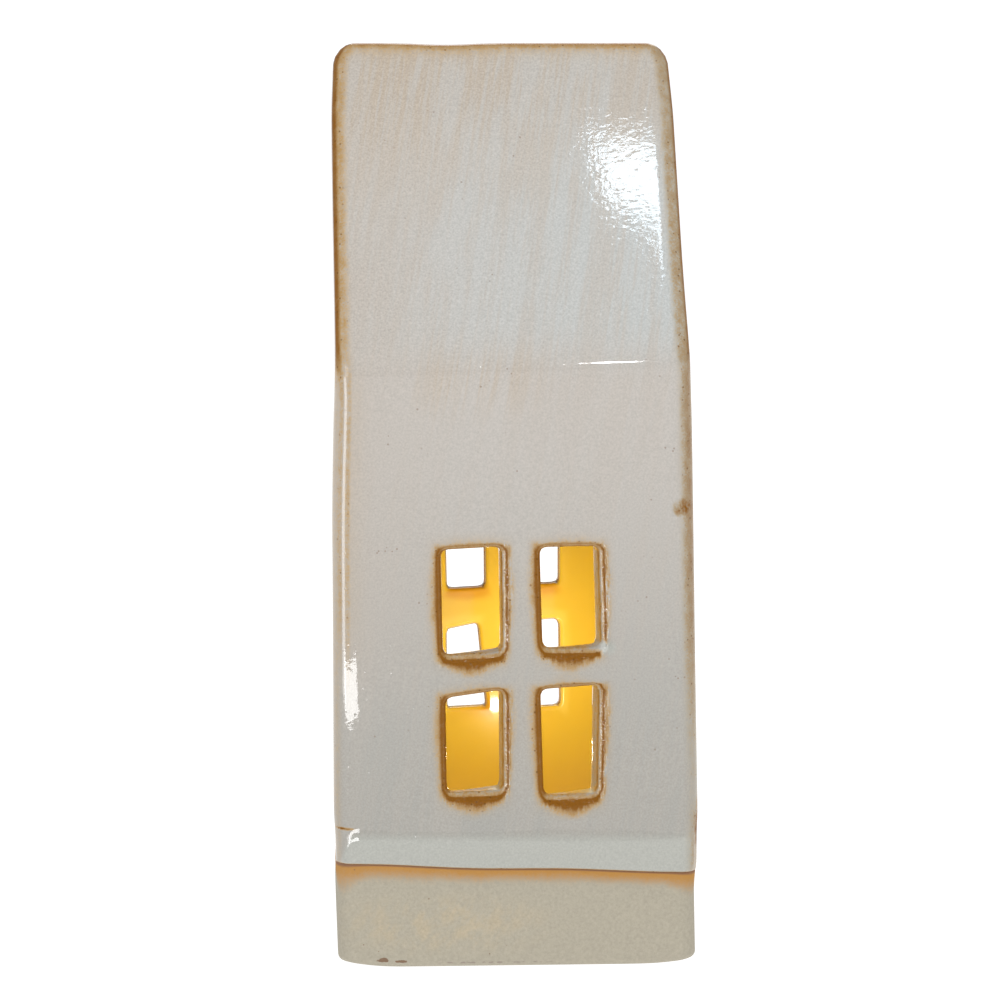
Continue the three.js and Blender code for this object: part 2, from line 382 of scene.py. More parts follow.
def profile_runs(sizes, heights):
    """The upright profile of the shell as runs of half depth and height, its corners filleted.

    They start at the inner ridge, run down inside, under the foot and up outside to the ridge.
    """
    wall = sizes.wall
    pitch = sizes.roof_pitch
    low, high = heights[0], heights[-1]
    outer_ridge = ridge_height(sizes)
    inner_ridge = outer_ridge - wall / math.cos(pitch)
    outer_half = sizes.eave_depth / 2
    inner_half = outer_half - wall
    inner_eave = inner_ridge - inner_half * math.tan(pitch)
    over_arc = 1 / math.cos(pitch) - 1
    roof_inside = filleted(
        [
            (-inner_half, inner_eave),
            (0, inner_ridge),
            (inner_half, inner_eave),
            (wall_half(sizes, high) - wall, high),
        ],
        [0, INNER_RIDGE_RADIUS, INNER_EAVE_RADIUS, 0],
        3 * MM,
    )
    roof_outside = filleted(
        [
            (wall_half(sizes, high), high),
            (outer_half, sizes.eave_height),
            (0, outer_ridge),
            (-outer_half, sizes.eave_height),
        ],
        [0, OUTER_EAVE_RADIUS, sizes.rake_radius, 0],
        1.5 * MM,
    )
    foot = filleted(
        [
            (wall_half(sizes, low) - wall, low),
            (wall_half(sizes, 0) - wall, 0),
            (wall_half(sizes, 0), 0),
            (wall_half(sizes, low), low),
        ],
        [0, INNER_FOOT_RADIUS, OUTER_FOOT_RADIUS, 0],
        1.2 * MM,
    )
    outer_wall = np.stack([wall_half(sizes, heights), heights], 1)
    return [
        np.array([[0, inner_ridge - INNER_RIDGE_RADIUS * over_arc]]),
        roof_inside[roof_inside[:, 0] > RIDGE_GAP][:-1],
        (outer_wall - [wall, 0])[::-1],
        foot[1:-1],
        outer_wall,
        roof_outside[roof_outside[:, 0] > RIDGE_GAP][1:],
        np.array([[0, outer_ridge - sizes.rake_radius * over_arc]]),
    ]


def clay_rows(sizes):
    """The upright profile as rows: half depth, half width, height, plan radius and length run.

    A circle of radius r rounds the ridge's ends: the width loses r - sqrt(r^2 - h^2).
    """
    wall = sizes.wall
    heights = shared_heights(sizes)
    runs = profile_runs(sizes, heights)
    starts = np.cumsum([0] + [len(run) for run in runs])
    rows = np.concatenate(runs)
    depth, height = rows[:, 0], rows[:, 1]
    number = np.arange(len(rows))
    outside = number >= starts[4]
    in_foot = (number >= starts[3]) & ~outside
    width = gable_half(sizes, height) - np.where(outside, 0, wall)
    width = np.where(in_foot, depth + gable_half(sizes, height) - wall_half(sizes, height), width)
    end = sizes.ridge_end_radius
    above_end = np.clip(height - (height[-1] - end), 0, end) * outside
    width = width - (end - np.sqrt(end**2 - above_end**2))
    width = width - 0.45 * MM * smooth(164 * MM, 178 * MM, height) * outside
    to_rake = smooth(sizes.eave_height - 6 * MM, sizes.eave_height + 6 * MM, height)
    corner = sizes.edge_radius + (sizes.rake_radius - sizes.edge_radius) * to_rake
    foot_share = np.clip(depth - wall_half(sizes, 0) + wall, 0, wall) / wall
    foot_corner = INNER_CORNER_RADIUS + (sizes.edge_radius - INNER_CORNER_RADIUS) * foot_share
    radius = np.where(outside, corner, np.where(in_foot, foot_corner, INNER_CORNER_RADIUS))
    return SimpleNamespace(
        depth=depth,
        height=height,
        width=width,
        radius=np.minimum(radius, depth),
        outside=outside,
        run=np.concatenate([[0], np.cumsum(np.linalg.norm(np.diff(rows, axis=0), axis=1))]),
        heights=heights,
        foot=starts[3],
        outer_wall=starts[4],
    )


def plan_loop():
    """The plan as one closed loop, anticlockwise from the left end of the front.

    Each point is a share of the way to the corner centres plus an outward direction.
    """
    front = np.linspace(-1, 1, FRONT_STEPS + 1)[:-1]
    side = np.linspace(-1, 1, SIDE_STEPS + 1)[:-1]
    arc = np.linspace(0, 90, CORNER_STEPS + 1)[:-1]
    flat_front = np.ones_like(front)
    flat_side = np.ones_like(side)
    flat_arc = np.ones_like(arc)
    across = np.concatenate([front, flat_arc, flat_side, flat_arc])
    along = np.concatenate([-flat_front, -flat_arc, side, flat_arc])
    angle = np.concatenate([-90 * flat_front, arc - 90, 0 * flat_side, arc])
    angle = np.concatenate([angle, angle + 180])
    upright = np.sin(np.radians(angle))
    return SimpleNamespace(
        across=np.concatenate([across, -across]),
        along=np.concatenate([along, -along]),
        out_x=np.cos(np.radians(angle)),
        out_y=upright,
        turn=np.radians(np.abs(np.mod(angle, 90) - 45)),
        face=np.where(np.abs(upright) > 0.7, 1.0, -1.0),
        back_start=FRONT_STEPS + SIDE_STEPS + 2 * CORNER_STEPS,
    )


def unevenness(sizes, points):
    """How far the hand-rolled face stands proud of true: three long sine waves, calm on the roof."""
    x, y, z = points[..., 0] / MM, points[..., 1] / MM, points[..., 2] / MM
    swell = 0.16 * np.sin(z / 13.5 + 1.3 * np.sin(x / 17))
    tilt = 0.12 * np.sin(x / 11 + z / 29 + 0.7)
    ripple = 0.07 * np.sin(y / 9 - z / 19 + x / 23)
    calm = 1 - 0.93 * smooth(sizes.eave_height - 14 * MM, sizes.eave_height - 3 * MM, points[..., 2])
    return (swell + tilt + ripple) * calm * MM


def leaning(sizes, points):
    """The points with the hand-built shape's faults added.

    Slips along x: the lean, the bow of the left gable, the swell of both gables and the flare of the
    left foot. A lift along z: the worn corners of the foot.
    """
    across, height = points[..., 0], points[..., 2]
    left = smooth(-5 * MM, 34 * MM, -across)
    bow = 0.2 * MM * bell(height - 122 * MM, 22 * MM) * left
    side = np.sign(across) * smooth(23 * MM, 34 * MM, np.abs(across))
    over = np.where(across > 0, 20 * MM, 0)
    swell = sizes.belly * smooth(14 * MM, 22 * MM, height) * fade(85 * MM, 122 * MM, height - over)
    flare = 0.33 * MM * (across < 0) * fade(19 * MM, 22 * MM, height)
    corner_x = np.abs(across) - sizes.foot_width / 2
    corner_y = np.abs(points[..., 1]) - sizes.foot_depth / 2
    worn = sizes.corner_lift * np.where(across > 0, 0.73, 1.0) * bell(np.hypot(corner_x, corner_y), 6 * MM)
    leant = points.copy()
    leant[..., 0] += sizes.lean * height + bow + (swell + flare) * side
    leant[..., 2] += worn * fade(0, 7 * MM, height)
    return leant


def grid_normals(points):
    """Unit normals of a grid that closes along its columns: cross product of its differences."""
    round_loop = np.roll(points, -1, 1) - np.roll(points, 1, 1)
    up_rows = np.gradient(points, axis=0)
    normal = np.cross(round_loop, up_rows)
    size = np.linalg.norm(normal, axis=2, keepdims=True)
    return normal / np.maximum(size, 1e-12)


def clay_grid(sizes):
    """The whole clay shell without windows: the plan loop carried up the upright profile.

    The outside is then pushed out by its unevenness, and lifted: in sine waves along the glaze line,
    by a tilt of the eave, and by a roof that is a little high and dips at the left of its ridge.
    """
    rows = clay_rows(sizes)
    plan = plan_loop()
    outside = rows.outside[:, None]
    radius = rows.radius[:, None]
    straight_x = rows.width[:, None] - radius
    straight_y = rows.depth[:, None] - radius
    x = plan.across * straight_x + radius * plan.out_x
    y = plan.along * straight_y + radius * plan.out_y
    z = np.repeat(rows.height[:, None], x.shape[1], 1)
    points = np.stack([x, y, z], 2)
    edge_gap = (1 - np.abs(plan.across)) * straight_x + (1 - np.abs(plan.along)) * straight_y
    edge_gap = edge_gap + radius * plan.turn
    proud = unevenness(sizes, points) * outside * smooth(0, 9 * MM, edge_gap)
    proud = proud * fade(172 * MM, 176 * MM, z)
    points = points + grid_normals(points) * proud[..., None]
    rightward = x / (34 * MM)
    wave = -1.1 * rightward + 0.3 * np.sin(y / (12 * MM)) + 0.16 * np.sin(x / (6 * MM))
    wave = wave * bell(z - sizes.glaze_line, 6.5 * MM)
    above_eave = z - sizes.eave_height
    up_roof = np.clip(above_eave / (rows.height[-1] - sizes.eave_height), 0, 1)
    dip = 0.35 * bell(x + 11 * MM, 7 * MM) * smooth(160 * MM, 179 * MM, z)
    tilt = 0.9 * rightward * np.where(above_eave > 0, 1 - up_roof, bell(above_eave, 15 * MM))
    points[..., 2] += (wave + 0.55 * up_roof - dip + tilt) * MM * outside
    return points, rows, plan, edge_gap


def rounded_outline(quad, radius, counts):
    """A quad with rounded corners, walked from the middle of each corner to the next.

    A corner is a quadratic curve through its two tangent points; a side is divided evenly.
    """
    share = np.linspace(0, 1, 17)[:, None]
    curves = []
    for corner in range(4):
        here = quad[corner]
        before = quad[corner - 1] - here
        after = quad[(corner + 1) % 4] - here
        start = here + before / np.linalg.norm(before) * radius
        end = here + after / np.linalg.norm(after) * radius
        curves.append((1 - share) ** 2 * start + 2 * share * (1 - share) * here + share**2 * end)
    sides = []
    for corner, count in enumerate(counts):
        path = np.concatenate([curves[corner][8:], curves[(corner + 1) % 4][:9]])
        run = np.concatenate([[0], np.cumsum(np.linalg.norm(np.diff(path, axis=0), axis=1))])
        at = np.linspace(0, run[-1], count + 1)[:-1]
        sides.append(np.stack([np.interp(at, run, path[:, 0]), np.interp(at, run, path[:, 1])], 1))
    return np.concatenate(sides)


def window_quad(windows, index, back):
    """The four corners of one window, as seen from the front, in x and z."""
    column, row = index % 2, index // 2
    left = windows.shift + (windows.mullion / 2 if column else -windows.mullion / 2 - windows.width)
    bottom = windows.sill + row * (windows.height + windows.transom)
    square = np.array([[0, 0], [1, 0], [1, 1], [0, 1]]) * [windows.width, windows.height]
    cut = BACK_CUT if back else FRONT_CUT
    return square + [left, bottom] + cut[index] * MM


def nearest(values, wanted):
    """Index of the value closest to the wanted one."""
    return int(np.argmin(np.abs(values - wanted)))


def window_cells(windows, rows, plan, back):
    """Grid cells cleared for the four windows of one wall: first and last column and row."""
    at = rows.outer_wall + nearest(rows.heights, windows.sill + windows.height)
    width = rows.width[at] - rows.radius[at]
    start = plan.back_start if back else 0
    columns = np.linspace(-1, 1, FRONT_STEPS + 1) * width * (-1 if back else 1)
    half = windows.mullion / 2 + windows.width + CELL_MARGIN
    cuts = [nearest(columns, windows.shift + away) for away in (-half, 0, half)]
    bottom = windows.sill - CELL_MARGIN - MM
    split = 0.5 if back else 0.38
    middle = windows.sill + windows.height + split * windows.transom
    top = windows.sill + 2 * windows.height + windows.transom + CELL_MARGIN
    levels = [nearest(rows.heights, level) for level in (bottom, middle, top)]
    cells = []
    for index in range(4):
        column, row = index % 2, index // 2
        first, last = sorted((cuts[column], cuts[column + 1]))
        cells.append((start + first, start + last, levels[row], levels[row + 1]))
    return cells


def cell_loop(first, last, low, high):
    """Row and column numbers round a cell, anticlockwise from its lower first corner."""
    across = np.arange(first, last)
    up = np.arange(low, high)
    columns = [across, np.full(len(up), last), across[::-1] + 1, np.full(len(up), first)]
    levels = [np.full(len(across), low), up, np.full(len(across), high), up[::-1] + 1]
    return np.concatenate(levels), np.concatenate(columns)


def window_cut(sizes, windows, index, cell, back):
    """The outline of one window with its outward directions, and how far each of its points belongs
    to the left, upper, right and lower side, as seen from outside the house."""
    first, last, low, high = cell
    quad = window_quad(windows, index, back)
    if back:
        quad = quad[[1, 0, 3, 2]]
    counts = [last - first, high - low, last - first, high - low]
    sharper = 0.55 if back and index == 0 else 1.0
    outline = rounded_outline(quad, sizes.window_corner * sharper, counts)
    along = np.roll(outline, -1, 0) - np.roll(outline, 1, 0)
    side = 1 if back else -1
    out = np.stack([along[:, 1], -along[:, 0]], 1) * -side
    out = out / np.linalg.norm(out, axis=1, keepdims=True)
    rightward = -side * out[:, 0]
    below = smooth(0.5, 0.9, -out[:, 1])
    across = -side * (outline[:, 0] - outline[:, 0].mean()) / (windows.width / 2)
    return SimpleNamespace(
        quad=quad,
        outline=outline,
        out=out,
        side=side,
        across=across,
        left=smooth(0.5, 0.9, -rightward),
        above=smooth(0.5, 0.9, out[:, 1]),
        right=smooth(0.5, 0.9, rightward),
        below=below,
        sill_sag=below * np.clip(1.05 - np.abs(across), 0, 1),
    )


def rings_between(start, end, shares):
    """Rings at shares of the straight way from one outline to another."""
    shares = shares[:, None, None]
    return start * (1 - shares) + end * shares


def lip_thinness(cut, far):
    """How thin the glaze is on the rings of the face, the lip and the jamb of a window.

    Each side has its own bands, which fade out on the face by millimetres from the lip; a point takes
    their mean, weighted by how far it belongs to each side.
    """
    drip = far / (0.25 + 2.05 * cut.sill_sag)
    bands = (
        0.46 * fade(0, 0.9, far) + 0.26 * bell(far, 1.4),
        0.4 * bell(far, 0.38),
        0.5 * bell(far, 0.22) + 0.3 * bell(far, 0.9),
        0.55 * fade(0.05, 0.95, drip) + 0.5 * fade(0.3, 2.0, drip),
    )
    sides = (cut.left, cut.above, cut.right, cut.below)
    weight = np.maximum(sum(sides), 0.3)
    on_face = sum(share * band for share, band in zip(sides, bands)) / weight
    on_face = on_face * smooth(0, 0.3, FACE_RINGS)[:, None]
    on_face = on_face + 0.16 * bell(far, 1.8) + 0.05 * bell(far, 4.0)
    on_face = on_face + 0.1 * cut.sill_sag * bell(far - 1.5, 2.6)
    on_lip = sum(share * thin[:, None] for share, thin in zip(sides, LIP_THIN)) / weight
    on_jamb = sum(share * thin[:, None] for share, thin in zip(sides, JAMB_THIN)) / weight
    return np.concatenate([on_face, on_lip, on_jamb])


def lip_coat(sizes, cut, far, index):
    """Thickness of the glaze on the rings of the face, the lip and the jamb of a window.

    The face has beads beside the right jamb and a drip under the sill, far in millimetres from the lip.
    """
    second_bead = 0.8 * bell(far - 1.2, 0.35) * (index % 2)
    bead = 0.22 * (bell(far - 0.35, 0.2) + second_bead) * cut.right * (1 - cut.below)
    drip = 0.2 * bell(far - 1.0, 0.9) * cut.sill_sag
    on_face = (sizes.glaze + (bead + drip) * MM) * (1 - 0.45 * bell(far, 0.5))
    on_lip = np.full((len(LIP_RINGS), len(cut.outline)), LIP_COAT)
    on_jamb = np.repeat(JAMB_COAT[:, None], len(cut.outline), 1)
    return np.concatenate([on_face, on_lip, on_jamb])


def window_rings(sizes, windows, index, cell, grid, rows, back):
    """One window as rings: over the outer face, round the lip, through the wall, over the inner face.

    A ring is the cut outline pushed out by part of the lip's radius and sunk to a depth in the wall.
    Each side has its own lip radius and its own slant through the wall.
    """
    wall = sizes.wall
    levels, columns = cell_loop(*cell)
    columns = columns % grid.shape[1]
    outer = grid[rows.outer_wall + levels, columns]
    inner = grid[rows.foot - 1 - levels, columns]
    cut = window_cut(sizes, windows, index, cell, back)
    lip = (0.3 + 0.2 * cut.left + 0.4 * cut.right + 0.65 * cut.below) * MM
    sill_slope = 0.75 if back else 0.6 * cut.across - 0.1
    jamb_slant = 0.3 if back else JAMB_SLANT[index]
    draft = (jamb_slant * cut.right + sill_slope * cut.below + 0.1 * cut.left) * MM
    clay = cut.outline + cut.out * 0.25 * MM
    edge = clay + cut.out * lip[:, None]
    face_at = rings_between(outer[:, [0, 2]], edge, FACE_RINGS)
    lip_at = clay + cut.out * (lip[:, None] * (1 - np.sin(LIP_RINGS))[:, None, None])
    jamb_at = clay - cut.out * (draft[:, None] * JAMB_RINGS[:, None, None])
    back_at = jamb_at[-1] + cut.out * (BACK_LIP * (1 - np.cos(BACK_LIP_RINGS)))[:, None, None]
    inner_at = rings_between(back_at[-1], inner[:, [0, 2]], INNER_RINGS)
    places = np.concatenate([face_at, lip_at, jamb_at, back_at, inner_at])
    depth = [
        np.zeros((len(FACE_RINGS), len(lip))),
        lip * (1 - np.cos(LIP_RINGS))[:, None],
        lip + JAMB_RINGS[:, None] * (wall - BACK_LIP - lip),
        np.repeat((wall - BACK_LIP + BACK_LIP * np.sin(BACK_LIP_RINGS))[:, None], len(lip), 1),
        np.full((len(INNER_RINGS), len(lip)), wall),
    ]
    depth = np.concatenate(depth)
    face = cut.side * wall_half(sizes, places[..., 1])
    points = np.stack([places[..., 0], face, places[..., 1]], 2)
    proud = unevenness(sizes, points) * (1 - depth / wall)
    points[..., 1] += cut.side * (proud - depth)
    points[0] = outer
    points[-1] = inner

    # Painted candle shade and light round a window inside: darker toward the flame, lighter away from it
    inner_gap = np.linalg.norm(np.concatenate([back_at, inner_at]) - back_at[-1], axis=2)
    to_flame = np.array(FLAME_AT) - cut.outline
    to_flame = to_flame / np.linalg.norm(to_flame, axis=1, keepdims=True)
    pooled = np.zeros(places.shape[:2])
    pooled[-len(inner_gap) :] = bell(inner_gap, 1.9 * MM) * np.sum(cut.out * to_flame, 1)

    far = np.linalg.norm(face_at - edge, axis=2) / MM
    has_drop = index == 3 and not back
    drop_at = cut.quad[1] + np.array([1.1, 0.1]) * MM
    from_drop = (places[:GLAZED_RINGS] - drop_at) / (np.array([1.7, 1.0]) * MM)
    drop = np.exp(-np.sum(from_drop**2, 2)) * has_drop
    # Painted reflection: the lip and jamb of a sill turn pale toward its right end
    in_corner = np.arange(GLAZED_RINGS) >= len(FACE_RINGS) + 3
    painted_sill_reflection = cut.below * smooth(0.1, 0.9, cut.across) * in_corner[:, None]
    ragged_face = bell(far, 2.2) * np.clip(cut.below + cut.right, 0, 1)
    ragged_lip = np.clip(0.45 * cut.below + 0.6 * cut.right, 0, 1)
    ragged_lip = np.repeat(ragged_lip[None], len(LIP_RINGS) + len(JAMB_RINGS), 0)
    return SimpleNamespace(
        points=points,
        pooled=pooled,
        # drop: the glaze drop on one front window, with the painted reflection on the sills
        drop=np.clip(2.0 * drop + 0.8 * painted_sill_reflection, 0, 1),
        thin=lip_thinness(cut, far),
        ragged=np.concatenate([ragged_face, ragged_lip]),
        coat=lip_coat(sizes, cut, far, index) + 0.5 * MM * drop,
    )


def grid_quads(row_count, column_count):
    """Corner numbers of a grid that closes along its columns."""
    numbers = np.arange(row_count * column_count).reshape(row_count, column_count)
    right = np.roll(numbers, -1, 1)
    return np.stack([numbers[:-1], right[:-1], right[1:], numbers[1:]], 2)


def sheet(points, faces, **values):
    """A grid of points and its faces as flat lists, with point values spread over the grid."""
    spread = {key: np.broadcast_to(value, points.shape[:2]).reshape(-1) for key, value in values.items()}
    return SimpleNamespace(points=points.reshape(-1, 3), faces=faces.reshape(-1, 4), values=spread)


def laid_together(sheets):
    """Sheets as one: points, faces and values end to end, the corner numbers moved on to suit."""
    starts = np.cumsum([0] + [len(each.points) for each in sheets])
    points = np.concatenate([each.points for each in sheets])
    faces = np.concatenate([each.faces + start for each, start in zip(sheets, starts)])
    keys = sheets[0].values
    return points, faces, {key: np.concatenate([each.values[key] for each in sheets]) for key in keys}


def without_loose(points, faces, values):
    """The same mesh without the points that no face uses."""
    used, renumbered = np.unique(faces, return_inverse=True)
    return points[used], renumbered.reshape(-1, 4), {key: value[used] for key, value in values.items()}


def weld(points, faces, values):
    """The same mesh with points that coincide merged; the first of them gives the values."""
    places = np.round(points / WELD_STEP).astype(np.int64)
    _, first, merged = np.unique(places, axis=0, return_index=True, return_inverse=True)
    return points[first], merged.reshape(-1)[faces], {key: value[first] for key, value in values.items()}


def whole_faces(quads):
    """True for faces with at least three different corners."""
    ordered = np.sort(quads, 1)
    return (np.diff(ordered, axis=1) != 0).sum(1) >= 2


def vertex_normals(points, quads):
    """Unit normals at the points: the sum of the cross products of each face's diagonals."""
    first, second, third, fourth = (points[quads[:, corner]] for corner in range(4))
    across = np.cross(third - first, fourth - second)
    total = np.zeros_like(points)
    for corner in range(4):
        np.add.at(total, quads[:, corner], across)
    size = np.linalg.norm(total, axis=1, keepdims=True)
    return total / np.maximum(size, 1e-15)


def open_edges(quads):
    """Directed edges that no neighbour face walks the other way."""
    start = quads.reshape(-1)
    end = np.roll(quads, -1, 1).reshape(-1)
    real = start != end
    start, end = start[real], end[real]
    span = int(quads.max()) + 1
    free = ~np.isin(start * span + end, end * span + start)
    return start[free], end[free]


def coat_shell(points, quads, thickness, lift):
    """A closed coat on an open surface: the surface pushed out by its thickness, the same
    surface a little above the body turned round, and a strip along every open edge."""
    normals = vertex_normals(points, quads)
    top = points + normals * thickness[:, None]
    under = points + normals * np.minimum(lift, 0.5 * thickness)[:, None]
    count = len(points)
    start, end = open_edges(quads)
    strip = np.stack([end, start, start + count, end + count], 1)
    faces = np.concatenate([quads, quads[:, ::-1] + count, strip])
    return np.concatenate([top, under]), faces


def make_piece(name, points, quads, values, materials, finish=None):
    """A smooth-shaded mesh object at the origin from points, four-cornered faces and point values.

    A corner that equals the next one is left out, so a quad that met a pole is a triangle.
    """
    whole = whole_faces(quads)
    quads = quads[whole]
    real = quads != np.roll(quads, -1, 1)
    counts = real.sum(1)
    mesh = bpy.data.meshes.new(name)
    mesh.vertices.add(len(points))
    mesh.vertices.foreach_set("co", points.reshape(-1).astype(np.float32))
    mesh.loops.add(int(counts.sum()))
    mesh.loops.foreach_set("vertex_index", quads[real].astype(np.int32))
    mesh.polygons.add(len(quads))
    mesh.polygons.foreach_set("loop_start", (np.cumsum(counts) - counts).astype(np.int32))
    for material in materials:
        mesh.materials.append(material)
    mesh.polygons.foreach_set("use_smooth", np.ones(len(quads), bool))
    if finish is not None:
        mesh.polygons.foreach_set("material_index", finish[whole].astype(np.int32))
    for key, value in values.items():
        attribute = mesh.attributes.new(key, "FLOAT", "POINT")
        attribute.data.foreach_set("value", value.astype(np.float32))
    mesh.update(calc_edges=True)
    if mesh.validate():
        raise RuntimeError(name + " has faces that are not sound")
    piece = bpy.data.objects.new(name, mesh)
    bpy.context.scene.collection.objects.link(piece)
    return piece


def grid_piece(name, points, material, **values):
    """A piece from one grid of points that closes along its columns and at its poles."""
    grid = sheet(points, grid_quads(*points.shape[:2]), **values)
    return make_piece(name, *weld(grid.points, grid.faces, grid.values), [material])


def house_parts(context):
    """The clay grid, the window rings of both walls, and the quads of the grid outside the windows."""
    scene = context.scene
    sizes = scene.house_sizes
    grid, rows, plan, edge_gap = clay_grid(sizes)
    quads = grid_quads(*grid.shape[:2])
    kept = np.ones(quads.shape[:2], bool)
    rings = []
    for windows, back in ((scene.front_windows, False), (scene.back_windows, True)):
        for index, cell in enumerate(window_cells(windows, rows, plan, back)):
            first, last, low, high = cell
            kept[rows.outer_wall + low : rows.outer_wall + high, first:last] = False
            kept[rows.foot - 1 - high : rows.foot - 1 - low, first:last] = False
            rings.append(window_rings(sizes, windows, index, cell, grid, rows, back))
    for ring in rings:
        ring.points = leaning(sizes, ring.points)
    return SimpleNamespace(
        sizes=sizes,
        grid=leaning(sizes, grid),
        rows=rows,
        plan=plan,
        edge_gap=edge_gap,
        quads=quads,
        kept=kept,
        rings=rings,
    )


class Nodes:
    """A short way to add shader nodes and links to one material."""

    def __init__(self, name):
        self.material = bpy.data.materials.new(name)
        self.material.use_nodes = True
        self.tree = self.material.node_tree
        self.tree.nodes.clear()
        self.output = self.tree.nodes.new("ShaderNodeOutputMaterial")
        self.coordinates = self.add("TexCoord", {}, "Object")

    def link(self, source, target):
        """Link a socket to an input, or set the input to a value."""
        if hasattr(source, "is_output"):
            self.tree.links.new(source, target)
        else:
            target.default_value = source

    def add(self, kind, inputs, output=0, **settings):
        """A new node with its settings and its inputs by name or number; gives one of its outputs."""
        node = self.tree.nodes.new("ShaderNode" + kind)
        for key, value in settings.items():
            setattr(node, key, value)
        for key, value in inputs.items():
            self.link(value, node.inputs[key])
        return node.outputs[output]

    def mapped(self, scale, turn=(0, 0, 0)):
        """Object coordinates in a frame turned by some angles, multiplied by one scale or three."""
        inputs = {
            "Vector": self.coordinates,
            "Scale": [1 / part for part in np.broadcast_to(scale, 3)],
            "Rotation": [math.radians(angle) for angle in turn],
        }
        return self.add("Mapping", inputs, "Vector", vector_type="TEXTURE")

    def noise(self, vector, detail=3.0, roughness=0.5, distortion=0.0):
        """Cloudy noise, about 0.5, as fine as the vector is scaled."""
        inputs = {
            "Vector": vector,
            "Scale": 1.0,
            "Detail": detail,
            "Roughness": roughness,
            "Distortion": distortion,
        }
        return self.add("TexNoise", inputs, "Fac")

    def cells(self, vector):
        """Way to the nearest of many scattered points."""
        return self.add("TexVoronoi", {"Vector": vector, "Scale": 1.0}, "Distance")

    def attribute(self, name):
        """A value that the mesh keeps at its points."""
        return self.add("Attribute", {}, "Fac", attribute_name=name)

    def math(self, operation, first, second, clamp=False):
        return self.add("Math", {0: first, 1: second}, operation=operation, use_clamp=clamp)

    def plus(self, first, second):
        return self.math("ADD", first, second)

    def minus(self, first, second):
        return self.math("SUBTRACT", first, second)

    def times(self, first, second):
        return self.math("MULTIPLY", first, second)

    def most(self, first, second):
        return self.math("MAXIMUM", first, second)

    def step(self, value, low, high, start=0.0, end=1.0):
        """Smooth step from start to end as the value goes from low to high."""
        inputs = {"Value": value, "From Min": low, "From Max": high, "To Min": start, "To Max": end}
        return self.add("MapRange", inputs, "Result", interpolation_type="SMOOTHSTEP")

    def colour(self, source):
        """A socket as it is, or a colour with its alpha."""
        return source if hasattr(source, "is_output") else (*source, 1.0)

    def mix(self, share, first, second, blend="MIX"):
        """Two colours mixed: the first at share 0, the second at share 1."""
        inputs = {0: share, 6: self.colour(first), 7: self.colour(second)}
        return self.add("Mix", inputs, 2, data_type="RGBA", blend_type=blend)

    def spot(self, centre, radii):
        """1 at a centre and 0 on the ellipsoid with the given radii round it, in millimetres."""
        inputs = {
            "Vector": self.coordinates,
            "Scale": [radius * MM for radius in radii],
            "Location": [place * MM for place in centre],
        }
        vector = self.add("Mapping", inputs, "Vector", vector_type="TEXTURE")
        away = self.add("VectorMath", {0: vector}, "Value", operation="LENGTH")
        return self.math("SUBTRACT", 1.0, away, True)

    def axis(self, name):
        """X, Y or Z of the object coordinates, in metres."""
        return self.add("SeparateXYZ", {0: self.coordinates}, name)

    def bump(self, height, distance, strength=1.0, normal=None):
        """A normal bent by a height field of the given depth, on top of another normal."""
        inputs = {"Strength": strength, "Distance": distance, "Height": height}
        if normal is not None:
            inputs["Normal"] = normal
        return self.add("Bump", inputs, "Normal")

    def principled(self, colour, roughness, normal=None, **values):
        """Finish the material with one surface; values are its other inputs, with _ for a blank."""
        inputs = {"Base Color": self.colour(colour), "Roughness": roughness}
        if normal is not None:
            inputs["Normal"] = normal
        for key, value in values.items():
            inputs[key.replace("_", " ")] = value
        self.link(self.add("BsdfPrincipled", inputs), self.output.inputs["Surface"])
        return self.material


def shaded(colour, shares):
    """A colour with each channel multiplied by a share."""
    return [channel * share for channel, share in zip(colour, shares)]


def brush_strokes(n):
    """Strokes down every face: broad and hair-fine noise, drawn out along a slanting upright."""
    face = n.attribute("face")
    broad = n.mix(face, n.mapped((40, 220, 20), GABLE_SLANT), n.mapped((220, 40, 20), FACE_SLANT))
    hair = n.mix(face, n.mapped((80, 1700, 60), GABLE_SLANT), n.mapped((1700, 80, 60), FACE_SLANT))
    return n.plus(n.times(n.noise(broad, 3.0, 0.55), 0.55), n.times(n.noise(hair, 2.0, 0.55), 0.45))


